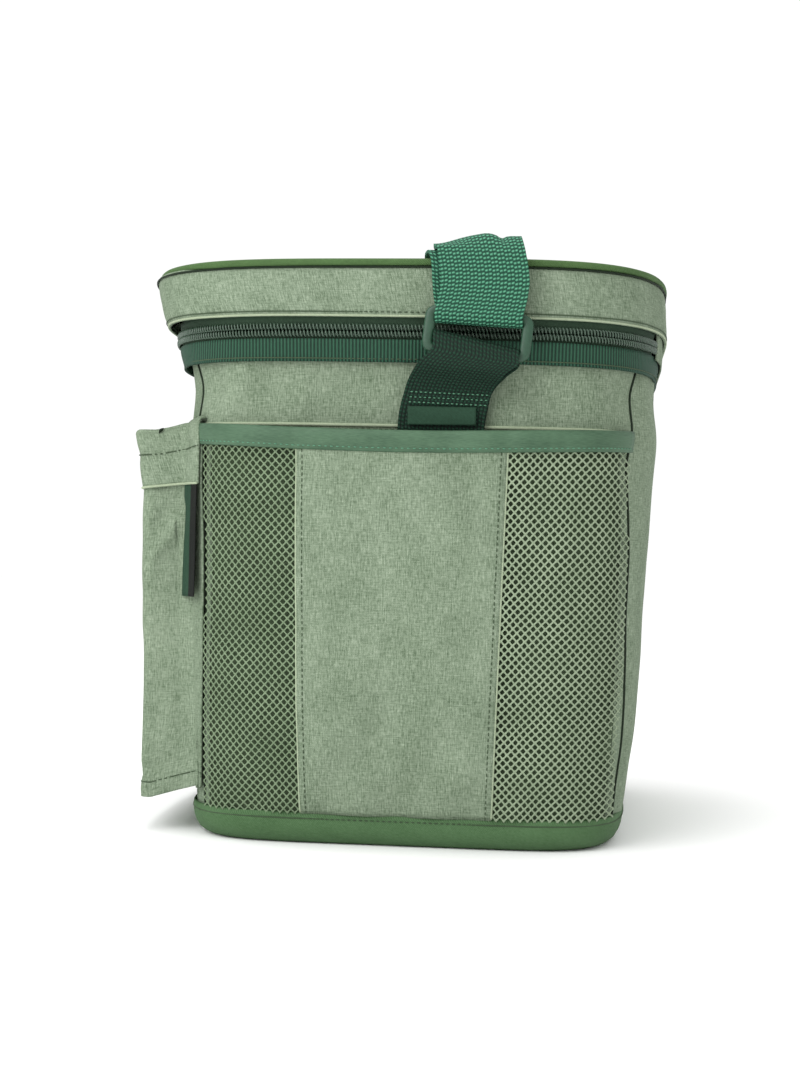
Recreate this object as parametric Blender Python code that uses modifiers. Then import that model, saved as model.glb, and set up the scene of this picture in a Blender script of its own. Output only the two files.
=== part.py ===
"""A soft-sided insulated bag: zipped lid, mesh pocket on each end, flap pocket on one side, webbing strap.

Units are metres. X runs across the ends of the bag, Y along its length and Z up. The origin is the centre
of the face it stands on. The lid is hinged along its +X side, and the flap pocket is on the -X side.
"""
import math

import bmesh
import bpy
from mathutils import Matrix, Vector

COLLECTION = "insulated_bag"
GAP = 0.0004

# The outer fabric: height, half width, half length and squareness of the plan (a superellipse's power).
BODY_LEVELS = (
    (0.000, 0.0985, 0.1330, 6.0),
    (0.015, 0.1000, 0.1345, 6.0),
    (0.110, 0.1040, 0.1385, 5.6),
    (0.170, 0.1075, 0.1405, 5.2),
    (0.205, 0.1092, 0.1425, 4.8),
    (0.2245, 0.1118, 0.1453, 4.2),
)
LID_LEVELS = (
    (0.2347, 0.1170, 0.1480, 4.1),
    (0.2460, 0.1180, 0.1490, 4.0),
    (0.2581, 0.1203, 0.1500, 3.9),
)
LID_LEAN = -0.0050
AROUND = 32

# Layers of the wall, from the outside in.
FABRIC = 0.0012
FOAM = 0.0060
LINER = 0.0008
SHELL_BOTTOM = 0.0034
SHELL_TOP = 0.2240
BASE_FLOOR = 0.0026
BASE_BAND = 0.0145
BASE_THICK = 0.0012
BOARD = 0.0020
FOAM_FLOOR = 0.0090

# The zip: its outer surface, and the heights of its rows.
ZIP_HALF_X = 0.1156
ZIP_HALF_Y = 0.1474
ZIP_POWER = 4.15
ZIP_MIDDLE = 0.2284
COIL_HEIGHT = 0.0024
COIL_THICK = 0.0022
TAPE_THICK = 0.0007
RIBBON_BOTTOM = 0.2148
RIBBON_TOP = 0.2244
RIBBON_THICK = 0.0014
HINGE_HALF_LENGTH = 0.090
HINGE_STRIP_THICK = 0.0012

# The lid.
LID_TOP = 0.2596
LID_FOAM = 0.0055
LID_TOP_INSET = 0.0018
PIPING_RADIUS = 0.00165

# The pocket on each end.
POCKET_BOTTOM = 0.0160
BINDING_BOTTOM = 0.1750
BINDING_TOP = 0.1845
POCKET_EDGE_SHARE = 0.915
POCKET_SEAM_GAP = 0.0010
PANEL_HALF_BOTTOM = 0.0425
PANEL_HALF_TOP = 0.0460
POCKET_BULGE = 0.0105
POCKET_FABRIC = 0.0011
BINDING_THICK = 0.0018

# The flap pocket on the -X side.
SIDE_POCKET_BOTTOM = 0.0220
SIDE_POCKET_TOP = 0.1815
SIDE_POCKET_OUT = 0.1195
SIDE_POCKET_BOW = 0.0095
SIDE_POCKET_HALF = 0.1120
SIDE_POCKET_CORNER = 0.0070
SIDE_POCKET_CLEAR = 0.0009
SIDE_POCKET_FABRIC = 0.0010
FLAP_TOP = 0.1855
FLAP_DROP = 0.0250
FLAP_SLOPE = 0.20
FLAP_CLEAR = 0.0020
FLAP_WALL_CLEAR = 0.0014
FLAP_NEAREST = 0.1034
FLAP_HINGE_X = -0.1115
FLAP_HINGE_Z = 0.1905
CLOSURE_BOTTOM = 0.1630
CLOSURE_HEIGHT = 0.0140
CLOSURE_SHARE = 0.75
CLOSURE_THICK = 0.0003

# The strap, its rings and the tabs that hold them.
WEBBING_WIDTH = 0.0380
WEBBING_THICK = 0.0014
RING_X = 0.0325
RING_Y = 0.1552
RING_Z = 0.2267
RING_WIDTH = 0.0470
RING_HEIGHT = 0.0216
RING_BAR = 0.0040
RING_SIDE = 0.0036
RING_THICK = 0.0034
RING_CORNER = 0.0048
RING_ROLL = math.radians(6.0)
TAB_ROLL = 2.1
LEG_ROLL = 0.5
BAR_RISE = RING_HEIGHT / 2 - RING_BAR / 2
LOOP_RADIUS = 0.0038
TAB_X = 0.0172
TAB_SHIFT = 0.0070
TAB_THICK = 0.0024
TAB_SPLIT = 0.2080
TAB_LABEL = (0.0300, 0.0006, 0.0080)
STRAP_X = 0.0325
STRAP_LEVEL = 0.2647
STRAP_REACH = 0.1260
FOLDS = (0.0200, 0.0980, 0.2601, 0.2712)
ADJUSTER_Y = -0.0600
ADJUSTER_SIZE = (0.0465, 0.0240, 0.0086)

# The zip's two sliders, which meet at the middle of the -X side.
SLIDER_Y = 0.0060
SLIDER_SIZE = (0.0026, 0.0080, 0.0094)
PULL_AXIS_X = -0.1200
PULL_WIDTH = 0.0060
PULL_LENGTH = 0.0160
PULL_THICK = 0.0009

MATERIALS = {
    "heather_fabric": ((0.262, 0.342, 0.240), 0.90, 0.0),
    "base_fabric": ((0.090, 0.175, 0.082), 0.85, 0.0),
    "binding_tape": ((0.083, 0.160, 0.095), 0.60, 0.0),
    "ribbon": ((0.030, 0.090, 0.052), 0.75, 0.0),
    "webbing": ((0.030, 0.120, 0.072), 0.70, 0.0),
    "mesh_net": ((0.150, 0.200, 0.130), 0.85, 0.0),
    "ring_plastic": ((0.068, 0.150, 0.090), 0.45, 0.0),
    "zip_coil": ((0.018, 0.034, 0.024), 0.40, 0.0),
    "zip_tape": ((0.022, 0.048, 0.032), 0.85, 0.0),
    "zip_metal": ((0.055, 0.080, 0.062), 0.35, 0.9),
    "foam": ((0.780, 0.790, 0.780), 0.95, 0.0),
    "liner": ((0.560, 0.580, 0.570), 0.35, 0.0),
    "board": ((0.030, 0.032, 0.030), 0.60, 0.0),
    "label": ((0.012, 0.014, 0.012), 0.70, 0.0),
    "hook_loop": ((0.028, 0.060, 0.036), 0.95, 0.0),
}


def clear_scene():
    for obj in list(bpy.data.objects):
        bpy.data.objects.remove(obj, do_unlink=True)


def collection(name):
    made = bpy.data.collections.new(name)
    bpy.context.scene.collection.children.link(made)
    return made


def material(name):
    found = bpy.data.materials.get(name)
    if found:
        return found
    colour, roughness, metallic = MATERIALS[name]
    made = bpy.data.materials.new(name)
    made.use_nodes = True
    shader = made.node_tree.nodes["Principled BSDF"]
    shader.inputs["Base Color"].default_value = (*colour, 1.0)
    shader.inputs["Roughness"].default_value = roughness
    shader.inputs["Metallic"].default_value = metallic
    return made


def place(name, data, slot, origin=(0.0, 0.0, 0.0)):
    """Links an object to the bag's collection with its material. Its data is already relative to origin."""
    obj = bpy.data.objects.new(name, data)
    obj.location = origin
    data.materials.append(material(slot))
    bpy.data.collections[COLLECTION].objects.link(obj)
    return obj


def from_bmesh(name, bm, slot, origin=(0.0, 0.0, 0.0), smooth=True):
    bmesh.ops.translate(bm, verts=bm.verts, vec=-Vector(origin))
    mesh = bpy.data.meshes.new(name)
    bm.to_mesh(mesh)
    bm.free()
    if smooth:
        mesh.shade_smooth()
        mesh.set_sharp_from_angle(angle=math.radians(35))
    return place(name, mesh, slot, origin)


def thicken(obj, thickness, offset=-1.0):
    solidify = obj.modifiers.new("thickness", "SOLIDIFY")
    solidify.thickness = thickness
    solidify.offset = offset


def round_edges(obj, width, segments=2):
    bevel = obj.modifiers.new("rounded_edges", "BEVEL")
    bevel.width = width
    bevel.segments = segments


def size_at(levels, z):
    """Half width, half length and power of the plan at a height."""
    if z <= levels[0][0]:
        return levels[0][1:]
    for low, high in zip(levels, levels[1:]):
        if z <= high[0]:
            share = (z - low[0]) / (high[0] - low[0])
            return tuple(a + (b - a) * share for a, b in zip(low[1:], high[1:]))
    return levels[-1][1:]


def plan(half_x, half_y, power, count=AROUND):
    """Points of a superellipse, anticlockwise seen from above, starting on +X."""
    points = []
    for step in range(count):
        angle = 2 * math.pi * step / count
        c, s = math.cos(angle), math.sin(angle)
        x = math.copysign(abs(c) ** (2 / power), c) * half_x
        y = math.copysign(abs(s) ** (2 / power), s) * half_y
        points.append((x, y))
    return points


def end_y(x, z):
    """How far the end wall stands from the middle at a place across it."""
    half_x, half_y, power = size_at(BODY_LEVELS, z)
    return half_y * (1 - abs(x / half_x) ** power) ** (1 / power)


def side_x(y, z):
    """How far the side wall stands from the middle at a place along it."""
    half_x, half_y, power = size_at(BODY_LEVELS, z)
    return half_x * (1 - abs(y / half_y) ** power) ** (1 / power)


def end_point(x, side, z, away):
    """The point that stands away from an end wall, square to it, opposite a place across it."""
    half_x, half_y, power = size_at(BODY_LEVELS, z)
    y = end_y(x, z)
    slope = math.copysign(abs(x / half_x) ** (power - 1) / half_x, x)
    normal = Vector((slope, (y / half_y) ** (power - 1) / half_y)).normalized()
    return (x + away * normal.x, side * (y + away * normal.y), z)


def loft(rows, closed=True, floor=False, roof=False):
    """Quads between rows of points of the same count, with a flat floor or roof where asked."""
    bm = bmesh.new()
    rings = [[bm.verts.new(point) for point in row] for row in rows]
    count = len(rings[0])
    last = count if closed else count - 1
    for low, high in zip(rings, rings[1:]):
        for i in range(last):
            j = (i + 1) % count
            bm.faces.new((low[i], low[j], high[j], high[i]))
    if floor:
        bm.faces.new(tuple(reversed(rings[0])))
    if roof:
        bm.faces.new(tuple(rings[-1]))
    return bm


def bag_rows(levels, heights, inset):
    """Plan outlines at the given heights, each moved in by inset."""
    rows = []
    for z in heights:
        half_x, half_y, power = size_at(levels, z)
        lean = lid_lean(z) if levels is LID_LEVELS else 0.0
        rows.append([(x + lean, y, z) for x, y in plan(half_x - inset, half_y - inset, power)])
    return rows


def lid_lean(z):
    """The lid's upper edge stands a little to -X of its hem."""
    low, high = LID_LEVELS[0][0], LID_LEVELS[-1][0]
    return LID_LEAN * min(max((z - low) / (high - low), 0.0), 1.0)


def box(name, slot, low, high, origin=None):
    """A cuboid between two corners."""
    low, high = Vector(low), Vector(high)
    bm = bmesh.new()
    bmesh.ops.create_cube(bm, size=1.0)
    bmesh.ops.scale(bm, verts=bm.verts, vec=high - low)
    bmesh.ops.translate(bm, verts=bm.verts, vec=(low + high) / 2)
    return from_bmesh(name, bm, slot, origin or (low + high) / 2, smooth=False)


# ---------------------------------------------------------------- body


def body_walls():
    heights = [SHELL_BOTTOM, 0.015, 0.110, 0.170, 0.205, SHELL_TOP]
    shell = from_bmesh("outer_shell", loft(bag_rows(BODY_LEVELS, heights, 0.0)), "heather_fabric")
    thicken(shell, FABRIC)

    foam_bottom = BASE_FLOOR + GAP
    foam_heights = [foam_bottom, 0.015, 0.110, 0.170, 0.205, SHELL_TOP - 0.001]
    foam_inset = FABRIC + GAP
    foam = from_bmesh("foam_walls", loft(bag_rows(BODY_LEVELS, foam_heights, foam_inset)), "foam")
    thicken(foam, FOAM)

    inner = foam_inset + FOAM + GAP
    board_top = foam_bottom + BOARD
    from_bmesh(
        "base_board",
        loft(bag_rows(BODY_LEVELS, [foam_bottom, board_top], inner), floor=True, roof=True),
        "board",
    )
    foam_floor_top = board_top + GAP + FOAM_FLOOR
    from_bmesh(
        "foam_floor",
        loft(bag_rows(BODY_LEVELS, [board_top + GAP, foam_floor_top], inner), floor=True, roof=True),
        "foam",
    )
    liner_heights = [foam_floor_top + GAP, 0.110, 0.170, 0.205, SHELL_TOP]
    liner = from_bmesh("liner", loft(bag_rows(BODY_LEVELS, liner_heights, inner), floor=True), "liner")
    thicken(liner, LINER)


def base_panel():
    """The dark cover under the bag, which turns up all round as a band."""
    rows = []
    for z, grow in ((0.0, -0.0030), (0.0022, 0.0012), (BASE_BAND, 0.0018)):
        half_x, half_y, power = size_at(BODY_LEVELS, z)
        rows.append([(x, y, z) for x, y in plan(half_x + grow, half_y + grow, power)])
    thicken(from_bmesh("base_panel", loft(rows, floor=True), "base_fabric"), BASE_THICK)


def ribbon():
    rows = []
    for z in (RIBBON_BOTTOM, RIBBON_TOP):
        half_x, half_y, power = size_at(BODY_LEVELS, z)
        out = RIBBON_THICK + GAP
        rows.append([(x, y, z) for x, y in plan(half_x + out, half_y + out, power)])
    thicken(from_bmesh("top_ribbon", loft(rows), "ribbon"), RIBBON_THICK)


# ---------------------------------------------------------------- zip and hinge


def zip_row(name, slot, low, high, inset, thickness):
    """A strip that follows the zip's path, which is open along the hinge."""
    rows = []
    for z in (low, high):
        outline = plan(ZIP_HALF_X - inset, ZIP_HALF_Y - inset, ZIP_POWER)
        keep = [p for p in outline if p[0] < 0 or abs(p[1]) > HINGE_HALF_LENGTH]
        start = next(i for i, p in enumerate(keep) if p[1] > 0 and p[0] > 0)
        path = keep[start:] + keep[:start]
        rows.append([(x, y, z) for x, y in path])
    thicken(from_bmesh(name, loft(rows, closed=False), slot), thickness)


def zip_strips():
    half_gap = 0.0002
    tape_inset = COIL_THICK + GAP
    low, high = ZIP_MIDDLE - half_gap, ZIP_MIDDLE + half_gap
    zip_row("zip_coil_lower", "zip_coil", low - COIL_HEIGHT, low, 0.0, COIL_THICK)
    zip_row("zip_coil_upper", "zip_coil", high, high + COIL_HEIGHT, 0.0, COIL_THICK)
    zip_row("zip_tape_lower", "zip_tape", RIBBON_TOP + GAP, low, tape_inset, TAPE_THICK)
    zip_row("zip_tape_upper", "zip_tape", high, LID_LEVELS[0][0] - GAP, tape_inset, TAPE_THICK)


def hinge_strip():
    """The fabric that joins the lid to the body along +X."""
    rows = []
    for z in (RIBBON_TOP + GAP, ZIP_MIDDLE, LID_LEVELS[0][0] - GAP):
        row = []
        for step in range(9):
            y = HINGE_HALF_LENGTH * (step / 4 - 1)
            x = ZIP_HALF_X * (1 - abs(y / ZIP_HALF_Y) ** ZIP_POWER) ** (1 / ZIP_POWER)
            row.append((x - 0.0006, y, z))
        rows.append(row)
    strip = from_bmesh("hinge_strip", loft(rows, closed=False), "heather_fabric")
    thicken(strip, HINGE_STRIP_THICK)


def slider(name, pull_name, side):
    """A slider on the outside of the coil with a wire bridge, and the pull tab that hangs from it."""
    x_out = -(ZIP_HALF_X + 0.0004)
    y = side * SLIDER_Y
    thick, wide, tall = SLIDER_SIZE
    body = box(
        name,
        "zip_metal",
        (x_out - thick, y - wide / 2, ZIP_MIDDLE - tall / 2),
        (x_out, y + wide / 2, ZIP_MIDDLE + tall / 2),
    )
    for vert in body.data.vertices:
        if vert.co.z < 0:
            vert.co.y *= 0.8
        if vert.co.x < 0:
            vert.co.y *= 0.85
            vert.co.z *= 0.85
    round_edges(body, 0.0004, 2)
    bridge = bridge_wire(name + "_bridge", x_out - thick, y)
    join = body.modifiers.new("bridge", "BOOLEAN")
    join.operation = "UNION"
    join.object = bridge
    pull_tab(pull_name, y)


def bridge_wire(name, x_face, y):
    """The arch over the slider, as a closed mesh for a union."""
    curve = bpy.data.curves.new(name, "CURVE")
    curve.dimensions = "3D"
    curve.bevel_depth = 0.0005
    curve.bevel_resolution = 1
    curve.use_fill_caps = True
    spline = curve.splines.new("POLY")
    steps = 10
    spline.points.add(steps + 2)
    reach = 0.0034
    half = 0.0031
    points = [(0.0008, half)]
    for step in range(steps + 1):
        angle = math.pi * step / steps
        points.append((-reach * math.sin(angle), half * math.cos(angle)))
    points.append((0.0008, -half))
    for target, (x, z) in zip(spline.points, points):
        target.co = (x_face + x, y, ZIP_MIDDLE + z, 1.0)
    source = bpy.data.objects.new(name + "_curve", curve)
    bpy.data.collections["cutters"].objects.link(source)
    bpy.context.view_layer.update()
    graph = bpy.context.evaluated_depsgraph_get()
    mesh = bpy.data.meshes.new_from_object(source.evaluated_get(graph))
    bm = bmesh.new()
    bm.from_mesh(mesh)
    bmesh.ops.remove_doubles(bm, verts=bm.verts, dist=0.00002)
    bm.to_mesh(mesh)
    bm.free()
    bpy.data.objects.remove(source)
    return cutter(name, mesh)


def cutter(name, mesh):
    obj = bpy.data.objects.new(name, mesh)
    obj.hide_render = True
    obj.display_type = "WIRE"
    bpy.data.collections["cutters"].objects.link(obj)
    return obj


def outline_plate(name, slot, outlines, thickness, matrix, bevel=0.0):
    """A flat plate from closed outlines, the first solid and the rest holes, placed by matrix."""
    curve = bpy.data.curves.new(name, "CURVE")
    curve.dimensions = "2D"
    curve.fill_mode = "BOTH"
    curve.extrude = thickness / 2 - bevel
    curve.bevel_depth = bevel
    curve.bevel_resolution = 0
    for outline in outlines:
        spline = curve.splines.new("POLY")
        spline.points.add(len(outline) - 1)
        for target, (x, y) in zip(spline.points, outline):
            target.co = (x, y, 0.0, 1.0)
        spline.use_cyclic_u = True
    obj = place(name, curve, slot)
    obj.matrix_world = matrix


def rounded_rectangle(width, height, radius, centre=(0.0, 0.0), steps=3):
    points = []
    for quarter, (sx, sy) in enumerate(((1, 1), (-1, 1), (-1, -1), (1, -1))):
        for step in range(steps + 1):
            angle = math.pi / 2 * (quarter + step / steps)
            x = sx * (width / 2 - radius) + radius * math.cos(angle)
            y = sy * (height / 2 - radius) + radius * math.sin(angle)
            points.append((centre[0] + x, centre[1] + y))
    return points


def pull_tab(name, y):
    """The tab hangs from the bar at its top edge, which passes under the slider's bridge."""
    bar = 0.0012
    window = rounded_rectangle(0.0031, 0.0041, 0.0008, (0.0, -bar / 2 - 0.00205))
    body = rounded_rectangle(PULL_WIDTH, PULL_LENGTH, 0.0014, (0.0, bar / 2 - PULL_LENGTH / 2))
    upright = Matrix.Rotation(math.radians(-90), 4, "Z") @ Matrix.Rotation(math.radians(90), 4, "X")
    matrix = Matrix.Translation((PULL_AXIS_X, y, ZIP_MIDDLE)) @ upright
    outline_plate(name, "zip_metal", [body, window], PULL_THICK, matrix)


# ---------------------------------------------------------------- lid


def lid():
    skirt_heights = [level[0] for level in LID_LEVELS]
    skirt_heights[-1] -= 0.0020
    skirt = from_bmesh("lid_skirt", loft(bag_rows(LID_LEVELS, skirt_heights, 0.0)), "heather_fabric")
    thicken(skirt, FABRIC)

    top_z = LID_TOP - FABRIC
    top = bag_rows(LID_LEVELS, [top_z, LID_TOP], LID_TOP_INSET)
    from_bmesh("lid_top", loft(top, floor=True, roof=True), "heather_fabric")

    half_x, half_y, power = size_at(LID_LEVELS, LID_LEVELS[-1][0])
    path = plan(half_x, half_y, power, 48)
    curve = bpy.data.curves.new("lid_piping", "CURVE")
    curve.dimensions = "3D"
    curve.bevel_depth = PIPING_RADIUS
    curve.bevel_resolution = 1
    spline = curve.splines.new("POLY")
    spline.points.add(len(path) - 1)
    for target, (x, y) in zip(spline.points, path):
        target.co = (x + LID_LEAN, y, LID_LEVELS[-1][0], 1.0)
    spline.use_cyclic_u = True
    place("lid_piping", curve, "base_fabric")

    foam_inset = FABRIC + GAP + 0.0006
    foam_rows = bag_rows(LID_LEVELS, [0.2360, 0.2460, top_z - GAP], foam_inset)
    foam = from_bmesh("lid_foam", loft(foam_rows, roof=True), "foam")
    thicken(foam, LID_FOAM)
    liner_inset = foam_inset + LID_FOAM + 2 * GAP
    liner_rows = bag_rows(LID_LEVELS, [0.2355, 0.2460, top_z - GAP - LID_FOAM - GAP], liner_inset)
    liner = from_bmesh("lid_liner", loft(liner_rows, roof=True), "liner")
    thicken(liner, LINER)


# ---------------------------------------------------------------- end pockets


def end_patch(name, slot, side, edges, heights, across, lift=0.0, thickness=POCKET_FABRIC):
    """A panel of the pocket. edges(z) gives its left and right x, and lift its height over the pocket."""
    rows = []
    for z in heights:
        left, right = edges(z)
        row = []
        for step in range(across + 1):
            x = left + (right - left) * step / across
            row.append(end_point(x, side, z, pocket_stand_off(x, z) + lift))
        if side > 0:
            row.reverse()
        rows.append(row)
    thicken(from_bmesh(name, loft(rows, closed=False), slot), thickness)


def pocket_edge(z):
    return POCKET_EDGE_SHARE * size_at(BODY_LEVELS, z)[0]


def pocket_stand_off(x, z):
    """The pocket lies close to the wall at its sides and bottom, and stands off it towards the mouth."""
    across = 1 - abs(x / pocket_edge(z)) ** 4
    upward = min(1.0, (z - POCKET_BOTTOM) / 0.06) ** 0.5
    return POCKET_SEAM_GAP + POCKET_FABRIC + POCKET_BULGE * max(across, 0.0) * upward


def panel_half(z):
    share = (z - POCKET_BOTTOM) / (BINDING_BOTTOM - POCKET_BOTTOM)
    return PANEL_HALF_BOTTOM + (PANEL_HALF_TOP - PANEL_HALF_BOTTOM) * share


def end_pocket(end, side):
    heights = [POCKET_BOTTOM, 0.028, 0.048, 0.080, 0.125, BINDING_BOTTOM - GAP]
    seam = GAP / 2

    def panel(z):
        return -panel_half(z), panel_half(z)

    def left_net(z):
        return -pocket_edge(z), -panel_half(z) - seam

    def right_net(z):
        return panel_half(z) + seam, pocket_edge(z)

    def whole(z):
        return -pocket_edge(z), pocket_edge(z)

    end_patch(end + "_pocket_panel", "heather_fabric", side, panel, heights, 6)
    end_patch(end + "_pocket_net_left", "mesh_net", side, left_net, heights, 8)
    end_patch(end + "_pocket_net_right", "mesh_net", side, right_net, heights, 8)
    tape = [BINDING_BOTTOM, BINDING_TOP]
    end_patch(end + "_pocket_binding", "binding_tape", side, whole, tape, 24, GAP, BINDING_THICK)


# ---------------------------------------------------------------- flap pocket


def wall_place(y, z, clearance, nearest):
    """The x beside the wall, which keeps clear of it and is never nearer the middle than nearest."""
    return -max(side_x(y, z) + clearance, nearest)


def side_outline(wall, out, half, corner):
    """The pocket's plan on the -X side: out from the wall, along with a slight bow, and back."""
    points = [(wall, half)]
    for step in range(4):
        angle = math.radians(90 + 30 * step)
        points.append((corner - out + corner * math.cos(angle), half - corner + corner * math.sin(angle)))
    flat = half - corner
    for step in range(1, 8):
        y = flat * (1 - step / 4)
        points.append((-out - SIDE_POCKET_BOW * (1 - (y / flat) ** 2), y))
    for step in range(4):
        angle = math.radians(180 + 30 * step)
        points.append((corner - out + corner * math.cos(angle), -half + corner + corner * math.sin(angle)))
    points.append((wall, -half))
    return points


def wall_outline(z, half, clearance, nearest=0.0):
    """Points along the side wall between the pocket's two edges."""
    points = []
    steps = 14
    for step in range(1, steps):
        y = half * math.sin(math.pi / 2 * (2 * step / steps - 1))
        points.append((wall_place(y, z, clearance, nearest), y))
    return points


def side_pocket():
    rows = []
    half = SIDE_POCKET_HALF
    for z in (SIDE_POCKET_BOTTOM, 0.060, 0.120, SIDE_POCKET_TOP):
        wall = wall_place(half, z, SIDE_POCKET_CLEAR, 0.0)
        outline = side_outline(wall, SIDE_POCKET_OUT, half, SIDE_POCKET_CORNER)
        outline += wall_outline(z, half, SIDE_POCKET_CLEAR)
        rows.append([(x, y, z) for x, y in outline])
    thicken(from_bmesh("side_pocket", loft(rows, floor=True), "heather_fabric"), SIDE_POCKET_FABRIC)
    closure("closure_loop_strip", SIDE_POCKET_OUT + 0.0004)


def pocket_flap():
    """The flap's sloping top is seamed to the wall, and its edge hangs over the pocket's mouth."""
    out = SIDE_POCKET_OUT + FLAP_CLEAR
    half = SIDE_POCKET_HALF + FLAP_CLEAR
    wall = wall_place(half, FLAP_TOP, FLAP_WALL_CLEAR, FLAP_NEAREST)

    def top(x):
        return FLAP_TOP + (x + out) * FLAP_SLOPE

    outline = side_outline(wall, out, half, SIDE_POCKET_CORNER + FLAP_CLEAR)
    hem = [(x, y, FLAP_TOP - FLAP_DROP) for x, y in outline]
    edge = [(x, y, top(x)) for x, y in outline]
    seam = wall_outline(FLAP_TOP, half, FLAP_WALL_CLEAR, FLAP_NEAREST)
    back = [(x, y, top(x)) for x, y in seam]
    bm = loft([hem, edge], closed=False)
    bm.verts.ensure_lookup_table()
    rim = [bm.verts[len(hem) + i] for i in range(len(edge))] + [bm.verts.new(point) for point in back]
    bm.faces.new(rim)
    flap = from_bmesh("side_pocket_flap", bm, "heather_fabric", (FLAP_HINGE_X, 0.0, FLAP_HINGE_Z))
    thicken(flap, SIDE_POCKET_FABRIC)
    closure("closure_hook_strip", SIDE_POCKET_OUT + 0.0008)


def closure(name, out):
    """A strip of touch fastener that follows the pocket's bowed face under the flap."""
    flat = SIDE_POCKET_HALF - SIDE_POCKET_CORNER
    rows = []
    for z in (CLOSURE_BOTTOM, CLOSURE_BOTTOM + CLOSURE_HEIGHT):
        row = []
        for step in range(-4, 5):
            y = -flat * step / 4 * CLOSURE_SHARE
            row.append((-out - SIDE_POCKET_BOW * (1 - (y / flat) ** 2), y, z))
        rows.append(row)
    thicken(from_bmesh(name, loft(rows, closed=False), "hook_loop"), CLOSURE_THICK)


def corner_label():
    """The blank woven label folded into the corner seam below the flap, on the gusset's end."""
    wall = -side_x(SIDE_POCKET_HALF, 0.13)
    y = -SIDE_POCKET_HALF - 0.0016
    box("corner_label", "label", (wall - 0.0088, y, 0.1090), (wall - 0.0020, y + 0.0010, 0.1590))


# ---------------------------------------------------------------- strap


def webbing(name, path, thickness=WEBBING_THICK):
    """A flat strip along a path of (x, y, z, roll): roll 1 lies along the ring's bars, roll 0 is level."""
    rows = []
    for x, y, z, roll in path:
        tilt = RING_ROLL * roll
        half = Vector((math.cos(tilt), 0.0, -math.sin(tilt))) * WEBBING_WIDTH / 2
        centre = Vector((x, y, z - (x - RING_X) * math.tan(tilt)))
        rows.append([centre - half, centre + half])
    thicken(from_bmesh(name, loft(rows, closed=False), "webbing"), thickness, 0.0)


def around_bar(sign, start, stop, roll, steps=8):
    """The webbing's turn round a ring's upper or lower bar, between two angles seen along the bar.

    Its roll differs from the bar's, so it stays on the bar at its +X edge and leaves it towards the other.
    """
    x = RING_X + sign * BAR_RISE * math.sin(RING_ROLL) / 2
    lift = WEBBING_WIDTH / 2 * (math.sin(RING_ROLL * roll) - math.sin(RING_ROLL))
    bar_z = RING_Z + sign * BAR_RISE + lift
    points = []
    for step in range(steps + 1):
        angle = math.radians(start + (stop - start) * step / steps)
        y = -RING_Y + LOOP_RADIUS * math.cos(angle)
        points.append((x, y, bar_z + LOOP_RADIUS * math.sin(angle), roll))
    return points


def mirrored(path, side):
    """The front end's path, or the same path on the rear end."""
    return [(x, -side * y, z, roll) for x, y, z, roll in path]


def ring(name, side):
    outer = rounded_rectangle(RING_WIDTH, RING_HEIGHT, RING_CORNER)
    inner = rounded_rectangle(RING_WIDTH - 2 * RING_SIDE, RING_HEIGHT - 2 * RING_BAR, 0.0010)
    stand = Matrix.Rotation(math.radians(90), 4, "X")
    middle = Matrix.Translation((RING_X, side * RING_Y, RING_Z))
    matrix = middle @ Matrix.Rotation(RING_ROLL, 4, "Y") @ stand
    outline_plate(name, "ring_plastic", [outer, inner], RING_THICK, matrix, bevel=0.0008)


def strap_end(end, side):
    ring(end + "_ring", side)

    # The tab is sewn flat on the wall above the pocket, and its free end turns round the ring's lower bar.
    top_x = TAB_X + TAB_SHIFT
    tab = [
        (TAB_X, -0.1432, 0.1870, 0.0),
        (TAB_X + TAB_SHIFT / 2, -0.1443, 0.1990, 0.2),
        (top_x, -0.1456, TAB_SPLIT - GAP, 0.7),
    ]
    webbing(end + "_tab", mirrored(tab, side), TAB_THICK)
    middle = (top_x + RING_X) / 2
    loop = [
        (top_x, -0.1462, TAB_SPLIT, 0.7),
        (middle, -0.1490, 0.2115, 1.0),
        (RING_X - 0.0010, -0.1512, 0.2160, 1.7),
    ]
    loop += around_bar(-1, -10, 190, TAB_ROLL)
    loop += [
        (RING_X - 0.0010, -0.1590, 0.2160, 1.7),
        (middle, -0.1572, 0.2120, 1.0),
        (top_x, -0.1494, TAB_SPLIT, 0.7),
    ]
    webbing(end + "_tab_loop", mirrored(loop, side))

    # The strap comes over the lid's edge, turns under the ring's upper bar and goes back behind itself.
    leg = [
        (STRAP_X, -0.1280, STRAP_LEVEL + 0.0010, 0.0),
        (STRAP_X, -0.1440, LID_TOP + 0.0084, 0.0),
        (STRAP_X, -0.1535, LID_TOP + 0.0074, 0.0),
        (STRAP_X, -0.1585, LID_TOP + 0.0016, 0.0),
        (STRAP_X, -0.1594, LID_TOP - 0.0090, 0.4),
    ]
    leg += around_bar(1, -180, 0, LEG_ROLL)
    leg += [
        (STRAP_X, -0.1530, LID_TOP - 0.0150, 0.4),
        (STRAP_X, -0.1548, LID_TOP - 0.0030, 0.0),
        (STRAP_X, -0.1530, LID_TOP + 0.0020, 0.0),
        (STRAP_X, -0.1480, LID_TOP + 0.0036, 0.0),
        (STRAP_X, -0.1400, LID_TOP + 0.0028, 0.0),
    ]
    webbing("strap_" + end + "_leg", mirrored(leg, side))


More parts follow.
